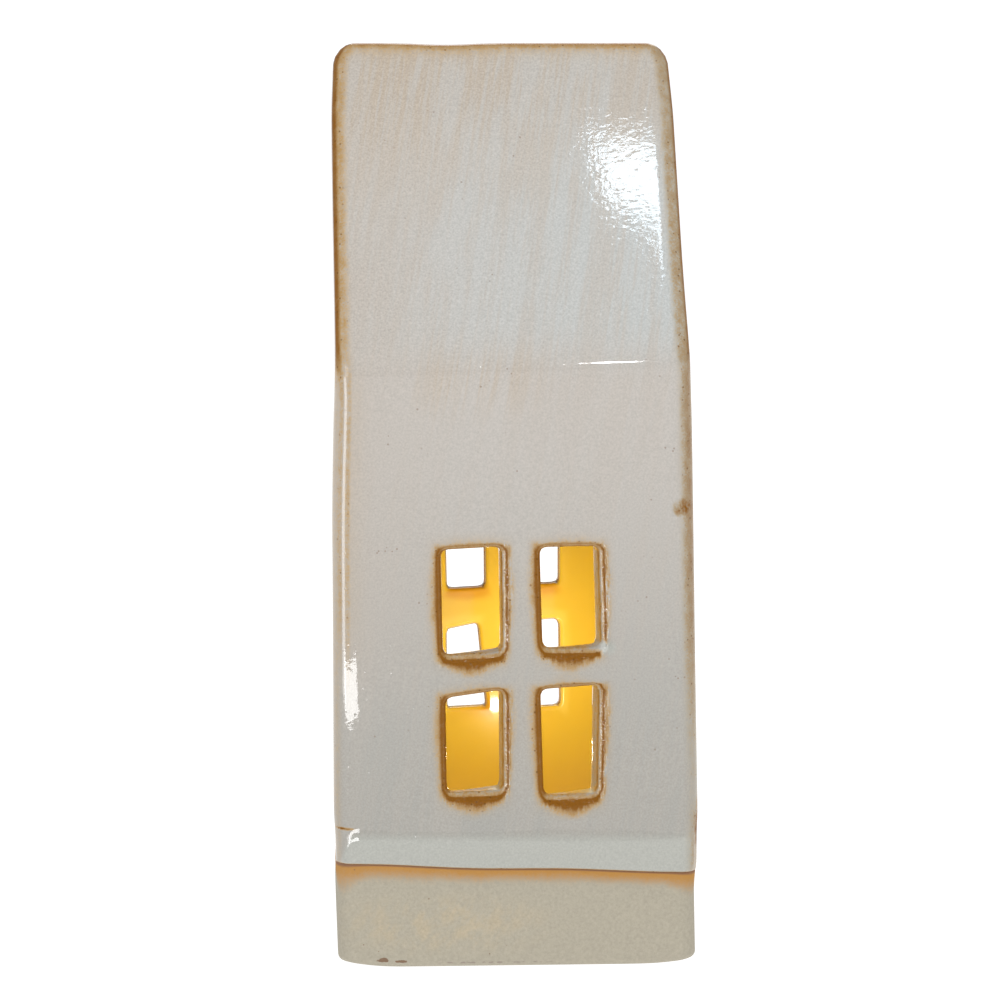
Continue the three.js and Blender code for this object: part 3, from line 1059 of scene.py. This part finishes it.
def glaze_flats(n, colours, brushed):
    """Colour of the glaze away from the edges.

    It is greyer low down and darker there, a painted shade toward the foot; right of the middle above
    the eave it is paler and bluer, a painted sheen. It has rosy streaks, tan high on the roof and over
    the eave, and is paler where the glaze lies thick.
    """
    x, z = n.axis("X"), n.axis("Z")
    # Greyer and darker toward the foot: the darkening is a painted shade
    colour = n.mix(n.step(z, 0.022, 0.118), colours.glaze_low, colours.glaze_grey)
    rightward = n.times(n.step(x, -0.03, 0.03, 0.4, 0.9), n.step(z, 0.145, 0.175, 1.0, 0.4))
    over_crease = n.times(n.step(z, 0.116, 0.128), n.attribute("face"))
    # Paler, bluer glaze right of the middle above the eave's crease: a painted sheen
    painted_sheen = shaded(colours.glaze_pale, (1.05, 1.08, 1.12))
    colour = n.mix(n.times(over_crease, rightward), colour, painted_sheen)
    cloud = n.noise(n.mapped((40, 40, 30)), 3.0, 0.5, 0.3)
    drift = n.times(n.minus(cloud, 0.5), 0.35)
    streak = n.step(n.plus(brushed, drift), 0.42, 0.62)
    colour = n.mix(n.times(streak, n.step(z, 0.100, 0.135, 0.22, 0.5)), colour, colours.glaze_rose)
    blush = n.times(n.step(x, -0.032, -0.008, 0.3, 0.0), n.step(z, 0.045, 0.065))
    colour = n.mix(blush, colour, colours.glaze_rose)
    warm = n.times(n.step(z, 0.140, 0.183), n.step(brushed, 0.42, 0.62, 0.15, 0.7))
    warm = n.times(warm, n.step(x, -0.03, 0.035, 0.40, 0.2))
    over_eave = n.times(n.spot((-9, -33, 117), (17, 16, 10)), n.step(brushed, 0.40, 0.62))
    colour = n.mix(n.most(warm, n.times(over_eave, 0.3)), colour, colours.glaze_ochre)
    thick = n.step(n.attribute("thick"), 0.1, 0.95, 0.0, 0.9)
    return n.mix(thick, colour, shaded(colours.glaze_pale, (0.93, 0.93, 0.89)))


def glaze_thinness(n, fine, ragged):
    """How thin the glaze is: its attribute or a flaw, made to wander by noise where it is thin at all."""
    comb = n.minus(n.noise(n.mapped((1500, 1500, 260)), 3.0, 0.6), 0.5)
    comb = n.times(n.times(comb, ragged), 1.5)
    patchy = n.minus(n.noise(n.mapped((560, 560, 380)), 3.0, 0.6), 0.5)
    wander = n.plus(n.plus(n.times(patchy, 0.45), n.times(fine, 0.6)), comb)
    blotch = n.times(patchy, 2.4)
    edge = n.attribute("thin")
    for centre, radii, depth in GLAZE_FLAWS:
        inside = n.spot(centre, radii)
        mark = n.math("ADD", n.times(inside, depth), n.times(blotch, inside), True)
        edge = n.most(edge, mark)
    return n.plus(edge, n.times(wander, n.step(edge, 0.02, 0.35)))


def glaze_material(colours):
    """Glossy off-white glaze: tan then brown where it thins, fine specks, ripples, pits and crystals."""
    n = Nodes("off_white_glaze")
    z = n.axis("Z")
    ragged = n.attribute("ragged")
    brushed = brush_strokes(n)
    fine = n.minus(n.noise(n.mapped(2600), 2.0, 0.6), 0.5)
    thin = glaze_thinness(n, fine, ragged)
    tinge = n.mix(n.step(n.axis("X"), 0.024, 0.030), colours.glaze_ochre, colours.glaze_khaki)
    colour = n.mix(n.step(thin, 0.0, 0.45), glaze_flats(n, colours, brushed), tinge)
    colour = n.mix(n.step(thin, 0.15, 0.95), colour, colours.glaze_brown)
    specks = n.step(n.cells(n.mapped(760)), 0.12, 0.2, 1.0, 0.0)
    chosen = n.step(n.noise(n.mapped(210), 1.0), 0.62, 0.72, 0.0, 0.4)
    chosen = n.times(chosen, n.step(z, 0.032, 0.040))
    chosen = n.most(chosen, n.step(thin, 0.12, 0.4, 0.0, 0.7))
    colour = n.mix(n.times(specks, chosen), colour, shaded(colours.glaze_brown, (0.6, 0.6, 0.6)))
    salt = n.times(fine, n.step(z, 0.110, 0.125, 0.42, 0.6))
    salt = n.plus(salt, n.step(z, 0.155, 0.175, 1.0, 0.955))
    colour = n.mix(1.0, colour, salt, "MULTIPLY")
    peel = n.noise(n.mapped((520, 520, 820), RIPPLE_SLANT), 1.0, 0.5, 0.3)
    skin = n.noise(n.mapped((1500, 1500, 2100), RIPPLE_SLANT), 1.0)
    pits = n.step(n.cells(n.mapped(430)), 0.02, 0.14)
    crystals = n.noise(n.mapped(1900), 1.0)
    relief = ((peel, 0.0085), (skin, 0.0034), (pits, 0.014), (n.times(crystals, ragged), 0.11))
    normal = None
    for height, distance in relief:
        normal = n.bump(height, distance * MM, normal=normal)
    sparkle = n.times(n.step(crystals, 0.6, 0.72), ragged)
    shine = n.most(n.step(thin, 0.3, 0.8, 0.5, 0.1), sparkle)
    roughness = n.step(brushed, 0.3, 0.7, 0.03, 0.045)
    return n.principled(colour, roughness, normal, IOR=1.52, Specular_IOR_Level=shine)


def clay_material(colours):
    """Bare fired clay: sandy grain, yellowish patches, chips, orange flash under the glaze line."""
    n = Nodes("bare_clay")
    sand = n.noise(n.mapped(1700), 3.0, 0.7)
    grain = n.minus(sand, 0.5)
    cream = shaded(colours.clay, (1.12, 1.05, 0.95))
    dabs = n.noise(n.mapped((420, 420, 260), (0, 35, 0)), 4.0, 0.65)
    near = n.step(n.spot((-15, -34, 9.0), (27, 14, 8)), 0.0, 0.7)
    colour = n.mix(n.times(n.step(dabs, 0.38, 0.68), near), colours.clay, cream)
    colour = n.mix(1.0, colour, n.plus(n.times(grain, 0.5), 1.0), "MULTIPLY")
    patchy = n.minus(n.noise(n.mapped(150), 4.0, 0.6), 0.5)
    wander = n.plus(n.times(patchy, 0.5), n.times(grain, 0.4))
    edge = n.attribute("flash")
    flash = n.plus(edge, n.times(wander, n.step(edge, 0.0, 0.2)))
    colour = n.mix(n.step(flash, 0.05, 0.85), colour, colours.flash)
    colour = n.mix(n.step(edge, 0.86, 0.97, 0.0, 0.75), colour, RIM_DARK)
    flakes = n.minus(n.noise(n.mapped((700, 700, 900)), 3.0, 0.6), 0.5)
    for centre, radii in FOOT_CHIPS:
        inside = n.spot(centre, radii)
        chipped = n.step(n.plus(inside, n.times(flakes, 1.6)), 0.30, 0.42, 0.0, 0.85)
        chipped = n.times(chipped, n.step(inside, 0.0, 0.1))
        colour = n.mix(chipped, colour, CHIP_BROWN)
    arris = n.times(n.spot((-6, -34, 1.0), (18, 8, 0.28)), n.step(flakes, -0.08, 0.1))
    colour = n.mix(n.step(arris, 0.1, 0.5, 0.0, 0.6), colour, ARRIS_GREY)
    iron = n.step(n.cells(n.mapped(300)), 0.03, 0.06, 0.7, 0.0)
    colour = n.mix(iron, colour, IRON_BROWN)
    cloud = n.noise(n.mapped((70, 70, 110)), 4.0, 0.6, 0.5)
    normal = n.bump(sand, 0.12 * MM, 0.6)
    normal = n.bump(cloud, 0.4 * MM, 0.35, normal)
    return n.principled(colour, 0.82, normal)


def inside_material(colours):
    """Thin clear glaze over clay inside the house, in an amber that partly paints the candle's light: more
    orange low down as a painted shade, with painted shade beside a window on the flame's side of it and
    painted light on the other, uneven and glossy."""
    n = Nodes("inside_glaze")
    # Painted shade: more orange low down and deeper beside a window toward the flame; painted light: clearer
    # on its far side
    orange = shaded(colours.inside, (1.0, 0.84, 0.7))
    painted_shade_amber = shaded(colours.inside, (0.88, 0.66, 0.4))
    clear = shaded(colours.inside, (1.1, 1.18, 1.9))
    pooled = n.attribute("pooled")
    colour = n.mix(n.step(n.axis("Z"), 0.010, 0.036), orange, colours.inside)
    colour = n.mix(n.step(pooled, 0.0, 0.9), colour, painted_shade_amber)
    colour = n.mix(n.step(pooled, -0.9, 0.0, 0.9, 0.0), colour, clear)
    normal = n.bump(n.noise(n.mapped(110), 1.0, 0.4), 0.06 * MM, 0.3)
    return n.principled(colour, 0.28, normal, IOR=1.5, Coat_Weight=0.7, Coat_Roughness=0.07)


def aluminium_material():
    """Pressed aluminium: satin, with fine rolling lines round the cup."""
    n = Nodes("pressed_aluminium")
    lines = n.noise(n.mapped((260, 260, 2600)), 3.0, 0.6)
    cloud = n.noise(n.mapped(140))
    colour = n.mix(n.step(lines, 0.3, 0.7), (0.80, 0.81, 0.82), (0.70, 0.71, 0.72))
    roughness = n.step(cloud, 0.3, 0.7, 0.24, 0.38)
    return n.principled(colour, roughness, n.bump(lines, 0.05 * MM, 0.4), Metallic=1.0)


def wax_material():
    """Paraffin: milky at the rim, clear and glossy in the pool round the wick."""
    n = Nodes("paraffin_wax")
    cloud = n.noise(n.mapped(220), 3.0, 0.5, 0.4)
    pool = n.attribute("pool")
    colour = n.mix(n.step(cloud, 0.3, 0.7), (0.86, 0.83, 0.74), (0.80, 0.76, 0.66))
    colour = n.mix(n.times(pool, 0.8), colour, (0.62, 0.55, 0.40))
    return n.principled(
        colour,
        n.minus(0.5, n.times(pool, 0.42)),
        n.bump(cloud, 0.12 * MM, 0.4),
        Subsurface_Weight=0.3,
        Subsurface_Radius=(0.004, 0.003, 0.002),
        Subsurface_Scale=1.0,
    )


def wick_material():
    """Braided cotton, waxed below and charred black at the tip."""
    n = Nodes("cotton_wick")
    fibre = n.noise(n.mapped((2600, 2600, 900)), 3.0, 0.6)
    cotton = n.mix(n.step(fibre, 0.3, 0.7), (0.70, 0.63, 0.48), (0.52, 0.44, 0.30))
    stray = n.times(n.minus(fibre, 0.5), 0.4)
    char = n.step(n.plus(n.attribute("char"), stray), 0.35, 0.65)
    colour = n.mix(char, cotton, (0.012, 0.010, 0.009))
    return n.principled(colour, 0.9, n.bump(fibre, 0.1 * MM, 0.7))


def tin_material():
    """Tinned steel disc under the wick."""
    n = Nodes("tinned_disc")
    grain = n.noise(n.mapped(900), 3.0, 0.6)
    colour = n.mix(n.step(grain, 0.3, 0.7), (0.60, 0.61, 0.62), (0.48, 0.49, 0.50))
    roughness = n.step(grain, 0.3, 0.7, 0.3, 0.45)
    return n.principled(colour, roughness, n.bump(grain, 0.04 * MM, 0.4), Metallic=1.0)


def flame_material():
    """A candle flame: dim and blue at its root, yellow in the body, orange at the tip."""
    n = Nodes("candle_flame")
    flicker = n.times(n.minus(n.noise(n.mapped((260, 260, 120)), 2.0), 0.5), 0.12)
    level = n.plus(n.attribute("rise"), flicker)
    colour = n.mix(n.step(level, 0.05, 0.35), (0.10, 0.16, 0.60), (1.0, 0.62, 0.16))
    colour = n.mix(n.step(level, 0.35, 0.6), colour, (1.0, 0.80, 0.42))
    colour = n.mix(n.step(level, 0.78, 1.0), colour, (1.0, 0.42, 0.06))
    strength = n.times(n.step(level, 0.05, 0.45, 0.35, 1.5), n.step(level, 0.75, 1.0, 1.0, 0.8))
    glow = n.add("Emission", {"Color": colour, "Strength": strength})
    clear = n.add("BsdfTransparent", {})
    flame = n.add("MixShader", {0: n.step(level, 0.02, 0.4, 0.25, 0.95), 1: clear, 2: glow})
    n.link(flame, n.output.inputs["Surface"])
    return n.material


def floor_material():
    """Lit white studio floor: it glows enough that shadows on it stay faint."""
    n = Nodes("studio_floor")
    cloud = n.noise(n.mapped(1.5), 2.0)
    colour = n.mix(n.step(cloud, 0.3, 0.7), (0.22, 0.22, 0.22), (0.20, 0.20, 0.20))
    return n.principled(colour, 0.9, Emission_Color=(1.0, 1.0, 1.0, 1.0), Emission_Strength=0.98)


class HOUSE_OT_clay_body(bpy.types.Operator):
    """Build the clay shell, with its windows cut, in place of the six slabs"""

    bl_idname = "tealight_house.clay_body"
    bl_label = "Clay body"

    def execute(self, context):
        house = house_parts(context)
        rows = house.rows
        drop = (house.sizes.glaze_line - rows.height)[:, None]
        reach = (3.6 + 3.2 * bell(house.edge_gap, 3.5 * MM)) * MM
        flash = np.clip(1 - drop / reach, 0, 1) * rows.outside[:, None]
        inside = np.repeat((np.arange(len(house.quads)) < rows.foot + 2)[:, None], house.quads.shape[1], 1)
        sheets = [sheet(house.grid, house.quads[house.kept], flash=flash, pooled=0.0)]
        finish = [inside[house.kept]]
        for ring in house.rings:
            quads = grid_quads(*ring.points.shape[:2])
            # The rings carry the painted candle shade and light of the inner face
            sheets.append(sheet(ring.points, quads, flash=0.0, pooled=ring.pooled))
            finish.append(np.repeat(np.arange(len(quads)) >= FIRST_INSIDE_RING, quads.shape[1]))
        mesh = without_loose(*weld(*laid_together(sheets)))
        colours = context.scene.finishes
        materials = [clay_material(colours), inside_material(colours)]
        body = make_piece("clay_body", *mesh, materials, np.concatenate(finish))
        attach(body, "house")
        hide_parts(*CLAY_NODES)
        return {"FINISHED"}


def worn_edges(house, past, left, on_roof):
    """How thin the glaze is along the rakes of the roof and the upright corners of the walls.

    Bands of smooth steps and bells by how far a point lies past the edge's middle on the front or
    back, which is negative on a gable. The left edges differ from the right ones.
    """
    z = house.grid[..., 2]
    rake_left = 0.32 * fade(0.9, 2.8, past / MM) + 0.48 * fade(-0.3, 0.6, past / MM)
    rake_right = 0.34 * fade(1.1, 2.8, past / MM) + 0.42 * fade(-0.8, 0.2, past / MM)
    rake = (rake_left * left + rake_right * (1 - left)) * fade(1.3 * MM, 5.0 * MM, -past)
    lines = 0.32 * bell(past - 0.25 * MM, 0.35 * MM) + 0.22 * bell(past - 1.7 * MM, 0.4 * MM)
    lines = (lines + 0.1 * bell(past - 2.5 * MM, 3.0 * MM)) * left * smooth(45 * MM, 75 * MM, z)
    high_or_low = smooth(30 * MM, 75 * MM, z) + 0.6 * fade(22 * MM, 36 * MM, z)
    reach = (1.3 + 1.6 * (1 - left)) * MM
    tone = (0.17 + 0.36 * high_or_low * (1 - left)) * fade(-0.6 * MM, reach, past)
    tone = tone * (1 - 0.7 * smooth(2.5 * MM, 7.0 * MM, -past))
    return rake * on_roof + np.maximum(lines, tone) * (1 - on_roof)


def wall_coat(house):
    """Thickness of the glaze over the clay grid, how thin it looks and how thick it looks.

    It swells to a roll above its lower edge, which is rounded as a quarter circle, and thins on the
    edges, on the ridge and low on the gables.
    """
    sizes, rows, plan = house.sizes, house.rows, house.plan
    rise = (rows.height - sizes.glaze_line)[:, None]
    on_roof = smooth(sizes.eave_height - 4 * MM, sizes.eave_height + 5 * MM, rows.height)[:, None]
    left = smooth(-2 * MM, 2 * MM, -house.grid[..., 0])
    past = house.edge_gap * plan.face
    corner = worn_edges(house, past, left, on_roof)
    to_ridge = (rows.run[-1] - rows.run)[:, None] * np.ones_like(past)
    ridge = 0.66 * bell(to_ridge, 1.4 * MM) + 0.25 * bell(to_ridge, 4.0 * MM)
    roll_end = smooth(-0.6 * MM, 0.8 * MM, past - 0.3 * np.maximum(rise, 0))
    roll = fade(4.6 * MM, 8.8 * MM, rise) * (1 - left * (1 - roll_end))
    side_roll = 0.35 + 0.65 * smooth(-0.5, 0.5, plan.face)
    rounded = np.sqrt(1 - (1 - np.clip(rise / (0.9 * MM), 0, 1)) ** 2)
    coat = (sizes.glaze + 0.42 * MM * roll * side_roll) * rounded
    coat = coat * (1 - 0.4 * np.maximum(np.clip(corner, 0, 1), ridge))
    on_gable = fade(-1.5 * MM, 1.5 * MM, past)
    coat = coat * (1 - 0.75 * on_gable * fade(3 * MM, 12 * MM, rise))
    lower_edge = 0.8 * bell(np.maximum(rise, 0), 0.2 * MM) * np.ones_like(past)
    thin = np.maximum.reduce([corner, ridge, lower_edge])
    thick = roll * rounded * fade(0.1, 0.5, corner)
    return np.maximum(coat, LEAST_COAT), thin, thick


class HOUSE_OT_glaze_coat(bpy.types.Operator):
    """Lay the glaze over the clay, thick at its lower edge and thin on edges and window lips"""

    bl_idname = "tealight_house.glaze_coat"
    bl_label = "Glaze"

    def execute(self, context):
        house = house_parts(context)
        line = house.rows.outer_wall + nearest(house.rows.heights, house.sizes.glaze_line)
        glazed = (np.arange(len(house.quads)) >= line)[:, None]
        coat, thin, thick = wall_coat(house)
        values = {"coat": coat, "thin": thin, "thick": thick, "ragged": 0.0, "face": house.plan.face > 0}
        sheets = [sheet(house.grid, house.quads[house.kept & glazed], **values)]
        for ring in house.rings:
            points = ring.points[:GLAZED_RINGS]
            values = {
                "coat": ring.coat,
                # A ring's drop also holds the painted reflection on its sill, which paints the glaze pale
                # there
                "thin": ring.thin * (1 - ring.drop),
                "thick": ring.drop,
                "ragged": ring.ragged,
                "face": 1.0,
            }
            sheets.append(sheet(points, grid_quads(*points.shape[:2]), **values))
        points, faces, values = weld(*without_loose(*laid_together(sheets)))
        faces = faces[whole_faces(faces)]
        points, faces = coat_shell(points, faces, values.pop("coat"), COAT_LIFT)
        values = {key: np.tile(value, 2) for key, value in values.items()}
        material = glaze_material(context.scene.finishes)
        coat = make_piece("glaze", points, faces, values, [material])
        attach(coat, "house")
        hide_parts("glaze_coat")
        return {"FINISHED"}


def revolve(profile, segments, swell=0.0):
    """A profile of radius and height turned round the upright axis; swell adds to the radius."""
    angle = np.linspace(0, 2 * math.pi, segments, endpoint=False)
    radius = profile[:, 0][:, None] + swell * np.ones(segments)
    height = profile[:, 1][:, None] * np.ones(segments)
    return np.stack([radius * np.cos(angle), radius * np.sin(angle), height], 2)


class HOUSE_OT_tealight_cup(bpy.types.Operator):
    """Press the aluminium cup: fluted wall, rolled lip and a ring in the base"""

    bl_idname = "tealight_house.tealight_cup"
    bl_label = "Tealight cup"

    def execute(self, context):
        cup = context.scene.tealight_sizes
        rim, tall, wall = cup.cup_radius, cup.cup_height, cup.cup_wall
        foot = rim - CUP_DRAFT
        ring_out, ring_in, ring_height = foot - 4.0 * MM, foot - 4.5 * MM, 0.5 * MM
        lip, lip_height = rim + 0.35 * MM, tall - 0.7 * MM
        corners = [
            (0, ring_height),
            (ring_in, ring_height),
            (ring_out, 0),
            (foot, 0),
            (rim, lip_height),
            (lip, lip_height),
            (lip, tall),
            (rim - wall, tall),
            (foot - wall, wall),
            (ring_out, wall),
            (ring_in, ring_height + wall),
            (0, ring_height + wall),
        ]
        radii = [0, 0.2, 0.2, 1.2, 0.1, 0.15, 0.3, 0.25, 1.0, 0.2, 0.2, 0]
        profile = filleted(corners, [radius * MM for radius in radii], 1.0 * MM)
        radius, height = profile[:, 0], profile[:, 1]
        fluted = smooth(1.6 * MM, 3.2 * MM, height) * fade(tall - 2.2 * MM, tall - 1.2 * MM, height)
        fluted = fluted * (radius > foot - 1.5 * MM)
        segments = cup.flutes * FLUTE_STEPS
        angle = np.linspace(0, 2 * math.pi, segments, endpoint=False)
        flute = fluted[:, None] * 0.13 * MM * np.cos(cup.flutes * angle)
        piece = grid_piece("pressed_cup", revolve(profile, segments, flute), aluminium_material())
        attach(piece, "tealight")
        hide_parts("tealight_cup")
        return {"FINISHED"}


class HOUSE_OT_tealight_wax(bpy.types.Operator):
    """Fill the cup with wax: it creeps up the cup's wall and the wick, with a melted pool between"""

    bl_idname = "tealight_house.tealight_wax"
    bl_label = "Tealight wax"

    def execute(self, context):
        cup = context.scene.tealight_sizes
        level = cup.wax_height
        bottom, shoulder = 1.0 * MM, 1.9 * MM
        low = cup.cup_radius - CUP_DRAFT - cup.cup_wall - 0.25 * MM
        edge = cup.cup_radius - CUP_DRAFT * (1 - level / cup.cup_height) - cup.cup_wall - 0.2 * MM
        radius = np.concatenate([np.linspace(edge, cup.wick_radius + 1.2 * MM, 48), [cup.wick_radius]])
        creep = 0.8 * bell(edge - radius, 1.1 * MM) + 0.7 * bell(radius - cup.wick_radius, 0.9 * MM)
        dish = 0.25 * smooth(0, edge, radius)
        top = np.stack([radius, level + (creep + dish - 0.9) * MM], 1)
        under = np.array(
            [[0, bottom], [low - 1.2 * MM, bottom], [low - 0.4 * MM, bottom + 0.3 * MM], [low, shoulder]]
        )
        wall = np.linspace(under[-1], top[0], 9)[1:]
        end = np.array([[0, top[-1, 1]]])
        points = revolve(np.concatenate([under, wall, top[1:], end]), WAX_SEGMENTS)
        angle = np.arctan2(points[..., 1], points[..., 0])
        out = np.hypot(points[..., 0], points[..., 1])
        is_top = (np.arange(len(points)) >= len(under) + len(wall))[:, None]
        ripple = np.sin(3 * angle + out / (2.2 * MM)) * smooth(2 * MM, 6 * MM, out)
        points[..., 2] += is_top * 0.06 * MM * ripple
        shore = (10.5 + 0.8 * np.sin(3 * angle) + 0.4 * np.sin(7 * angle + 1)) * MM
        pool = is_top * fade(-0.5 * MM, 0.5 * MM, out - shore)
        piece = grid_piece("wax_fill", points, wax_material(), pool=pool)
        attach(piece, "tealight")
        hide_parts("tealight_wax")
        return {"FINISHED"}


class HOUSE_OT_tealight_wick(bpy.types.Operator):
    """Braid the wick: three strands that wind up a cord, charred and bent at the tip"""

    bl_idname = "tealight_house.tealight_wick"
    bl_label = "Tealight wick"

    def execute(self, context):
        cup = context.scene.tealight_sizes
        start, top = 0.9 * MM, cup.wick_top
        climb = np.concatenate([[0], np.linspace(0, 1, WICK_ROWS), [1]])
        height = start + (top - start) * climb
        angle = np.linspace(0, 2 * math.pi, WICK_SEGMENTS, endpoint=False)
        winding = climb[:, None] * WICK_WINDING
        strand = np.abs(np.sin(1.5 * (angle + winding))) + np.abs(np.sin(1.5 * (angle - winding)))
        taper = 1 - 0.45 * smooth(0.93, 1.0, climb)
        taper[[0, -1]] = 0
        radius = cup.wick_radius * (0.78 + 0.12 * strand) * taper[:, None]
        bend = -0.5 * MM * smooth(0.72, 1.0, climb)[:, None]
        upright = height[:, None] * np.ones_like(radius)
        points = np.stack([bend + radius * np.cos(angle), radius * np.sin(angle), upright], 2)
        char = smooth(0.66, 0.8, climb)[:, None]
        piece = grid_piece("braided_wick", points, wick_material(), char=char)
        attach(piece, "tealight")
        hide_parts("tealight_wick")
        return {"FINISHED"}


class HOUSE_OT_wick_disc(bpy.types.Operator):
    """Finish the tinned disc that holds the wick, down in the wax"""

    bl_idname = "tealight_house.wick_disc"
    bl_label = "Wick disc"

    def execute(self, context):
        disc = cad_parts["wick_sustainer"]
        disc.data.materials.clear()
        disc.data.materials.append(tin_material())
        return {"FINISHED"}


class HOUSE_OT_flame(bpy.types.Operator):
    """Light the wick: a drop-shaped flame, widest a third of the way up"""

    bl_idname = "tealight_house.flame"
    bl_label = "Flame"

    def execute(self, context):
        cup = context.scene.tealight_sizes
        low, high = cup.wick_top - 2.4 * MM, cup.flame_top
        climb = np.linspace(0, 1, FLAME_ROWS)
        radius = 5.0 * MM * np.sqrt(climb) * (1 - climb) ** 0.85
        points = revolve(np.stack([radius, low + (high - low) * climb], 1), FLAME_SEGMENTS)
        points[..., 0] += (-0.1 * MM - 0.25 * MM * climb**2)[:, None]
        flame = grid_piece("candle_flame", points, flame_material(), rise=climb[:, None])
        flame.visible_shadow = False
        flame.visible_diffuse = False
        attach(flame, "tealight")
        return {"FINISHED"}


def aim(target, azimuth, elevation, distance):
    """Place at a distance from the target, turned by azimuth and raised by elevation, looking at it."""
    turn, lift = math.radians(azimuth), math.radians(elevation)
    back = Vector((math.sin(turn) * math.cos(lift), -math.cos(turn) * math.cos(lift), math.sin(lift)))
    return Vector(target) + back * distance, (-back).to_track_quat("-Z", "Y")


def add_lamp(name, kind, place, energy, colour):
    """A lamp at a place, which the camera doesn't see."""
    data = bpy.data.lights.new(name, kind)
    data.energy = energy
    data.color = colour
    lamp = bpy.data.objects.new(name, data)
    lamp.location = place
    lamp.visible_camera = False
    bpy.context.scene.collection.objects.link(lamp)
    return lamp


def add_panel(name, place, target, size, energy, colour=(1, 1, 1)):
    """A rectangular soft light at a place, facing the target."""
    lamp = add_lamp(name, "AREA", place, energy, colour)
    lamp.data.shape = "RECTANGLE"
    lamp.data.size, lamp.data.size_y = size
    lamp.rotation_mode = "QUATERNION"
    lamp.rotation_quaternion = (Vector(target) - Vector(place)).to_track_quat("-Z", "Y")
    return lamp


def add_bulb(name, place, energy, radius, colour):
    """A small round light at a place."""
    lamp = add_lamp(name, "POINT", place, energy, colour)
    lamp.data.shadow_soft_size = radius
    return lamp


class HOUSE_OT_stage(bpy.types.Operator):
    """Set the floor, the soft studio light, the candle's light and the camera"""

    bl_idname = "tealight_house.stage"
    bl_label = "Stage"

    def execute(self, context):
        scene = context.scene
        half = FLOOR_WIDTH / 2
        floor_mesh = bpy.data.meshes.new("floor")
        corners = [(-half, -half, 0), (half, -half, 0), (half, half, 0), (-half, half, 0)]
        floor_mesh.from_pydata(corners, [], [(0, 1, 2, 3)])
        floor_mesh.materials.append(floor_material())
        floor = bpy.data.objects.new("floor", floor_mesh)
        scene.collection.objects.link(floor)

        world = bpy.data.worlds.new("studio")
        world.use_nodes = True
        sky = world.node_tree.nodes["Background"]
        sky.inputs["Color"].default_value = (1.0, 1.0, 1.0, 1.0)
        sky.inputs["Strength"].default_value = SKY_STRENGTH
        scene.world = world

        for name, place, size, energy, reflected in SOFTBOXES:
            softbox = add_panel(name, place, SOFTBOX_TARGET, size, energy)
            softbox.visible_glossy = reflected
        for name, place, target, size, energy, colour in GLINTS:
            glint = add_panel(name, place, target, size, energy, colour)
            glint.visible_diffuse = False

        glow = add_bulb("candle_glow", *CANDLE_GLOW, scene.finishes.candle)
        glow.visible_glossy = False
        spark = add_bulb("flame_glint", *FLAME_GLINT, GLINT_COLOUR)
        spark.visible_diffuse = False

        camera_data = bpy.data.cameras.new("camera")
        camera_data.sensor_width = 36.0
        camera_data.lens = CAMERA_LENS
        camera_data.clip_start = 0.01
        camera = bpy.data.objects.new("camera", camera_data)
        place, turn = aim(CAMERA_TARGET, CAMERA_AZIMUTH, CAMERA_ELEVATION, CAMERA_DISTANCE)
        roll = Quaternion((0, 0, 1), math.radians(CAMERA_ROLL))
        camera.location = place
        camera.rotation_mode = "QUATERNION"
        camera.rotation_quaternion = turn @ roll
        scene.collection.objects.link(camera)
        scene.camera = camera

        scene.view_settings.view_transform = "Standard"
        scene.view_settings.look = "None"
        return {"FINISHED"}


class HOUSE_PT_panel(bpy.types.Panel):
    """The steps that build the tealight house, in order"""

    bl_idname = "HOUSE_PT_panel"
    bl_label = "Tealight house"
    bl_space_type = "VIEW_3D"
    bl_region_type = "UI"
    bl_category = "Tealight house"

    def draw(self, context):
        for name, group in GROUPS.items():
            box = self.layout.box()
            for key in group.__annotations__:
                box.prop(getattr(context.scene, name), key)
        for operator in OPERATORS:
            self.layout.operator(operator.bl_idname)


GROUPS = {
    "house_sizes": HouseSizes,
    "front_windows": FrontWindows,
    "back_windows": BackWindows,
    "tealight_sizes": TealightSizes,
    "finishes": Finishes,
}

OPERATORS = (
    HOUSE_OT_clay_body,
    HOUSE_OT_glaze_coat,
    HOUSE_OT_tealight_cup,
    HOUSE_OT_tealight_wax,
    HOUSE_OT_tealight_wick,
    HOUSE_OT_wick_disc,
    HOUSE_OT_flame,
    HOUSE_OT_stage,
)


def register():
    for name, group in GROUPS.items():
        bpy.utils.register_class(group)
        setattr(bpy.types.Scene, name, PointerProperty(type=group))
    for operator in OPERATORS:
        bpy.utils.register_class(operator)
    bpy.utils.register_class(HOUSE_PT_panel)


def unregister():
    bpy.utils.unregister_class(HOUSE_PT_panel)
    for operator in reversed(OPERATORS):
        bpy.utils.unregister_class(operator)
    for name, group in reversed(list(GROUPS.items())):
        delattr(bpy.types.Scene, name)
        bpy.utils.unregister_class(group)


def main():
    register()
    bpy.ops.tealight_house.clay_body()
    bpy.ops.tealight_house.glaze_coat()
    bpy.ops.tealight_house.tealight_cup()
    bpy.ops.tealight_house.tealight_wax()
    bpy.ops.tealight_house.tealight_wick()
    bpy.ops.tealight_house.wick_disc()
    bpy.ops.tealight_house.flame()
    bpy.ops.tealight_house.stage()


if __name__ == "__main__":
    main()
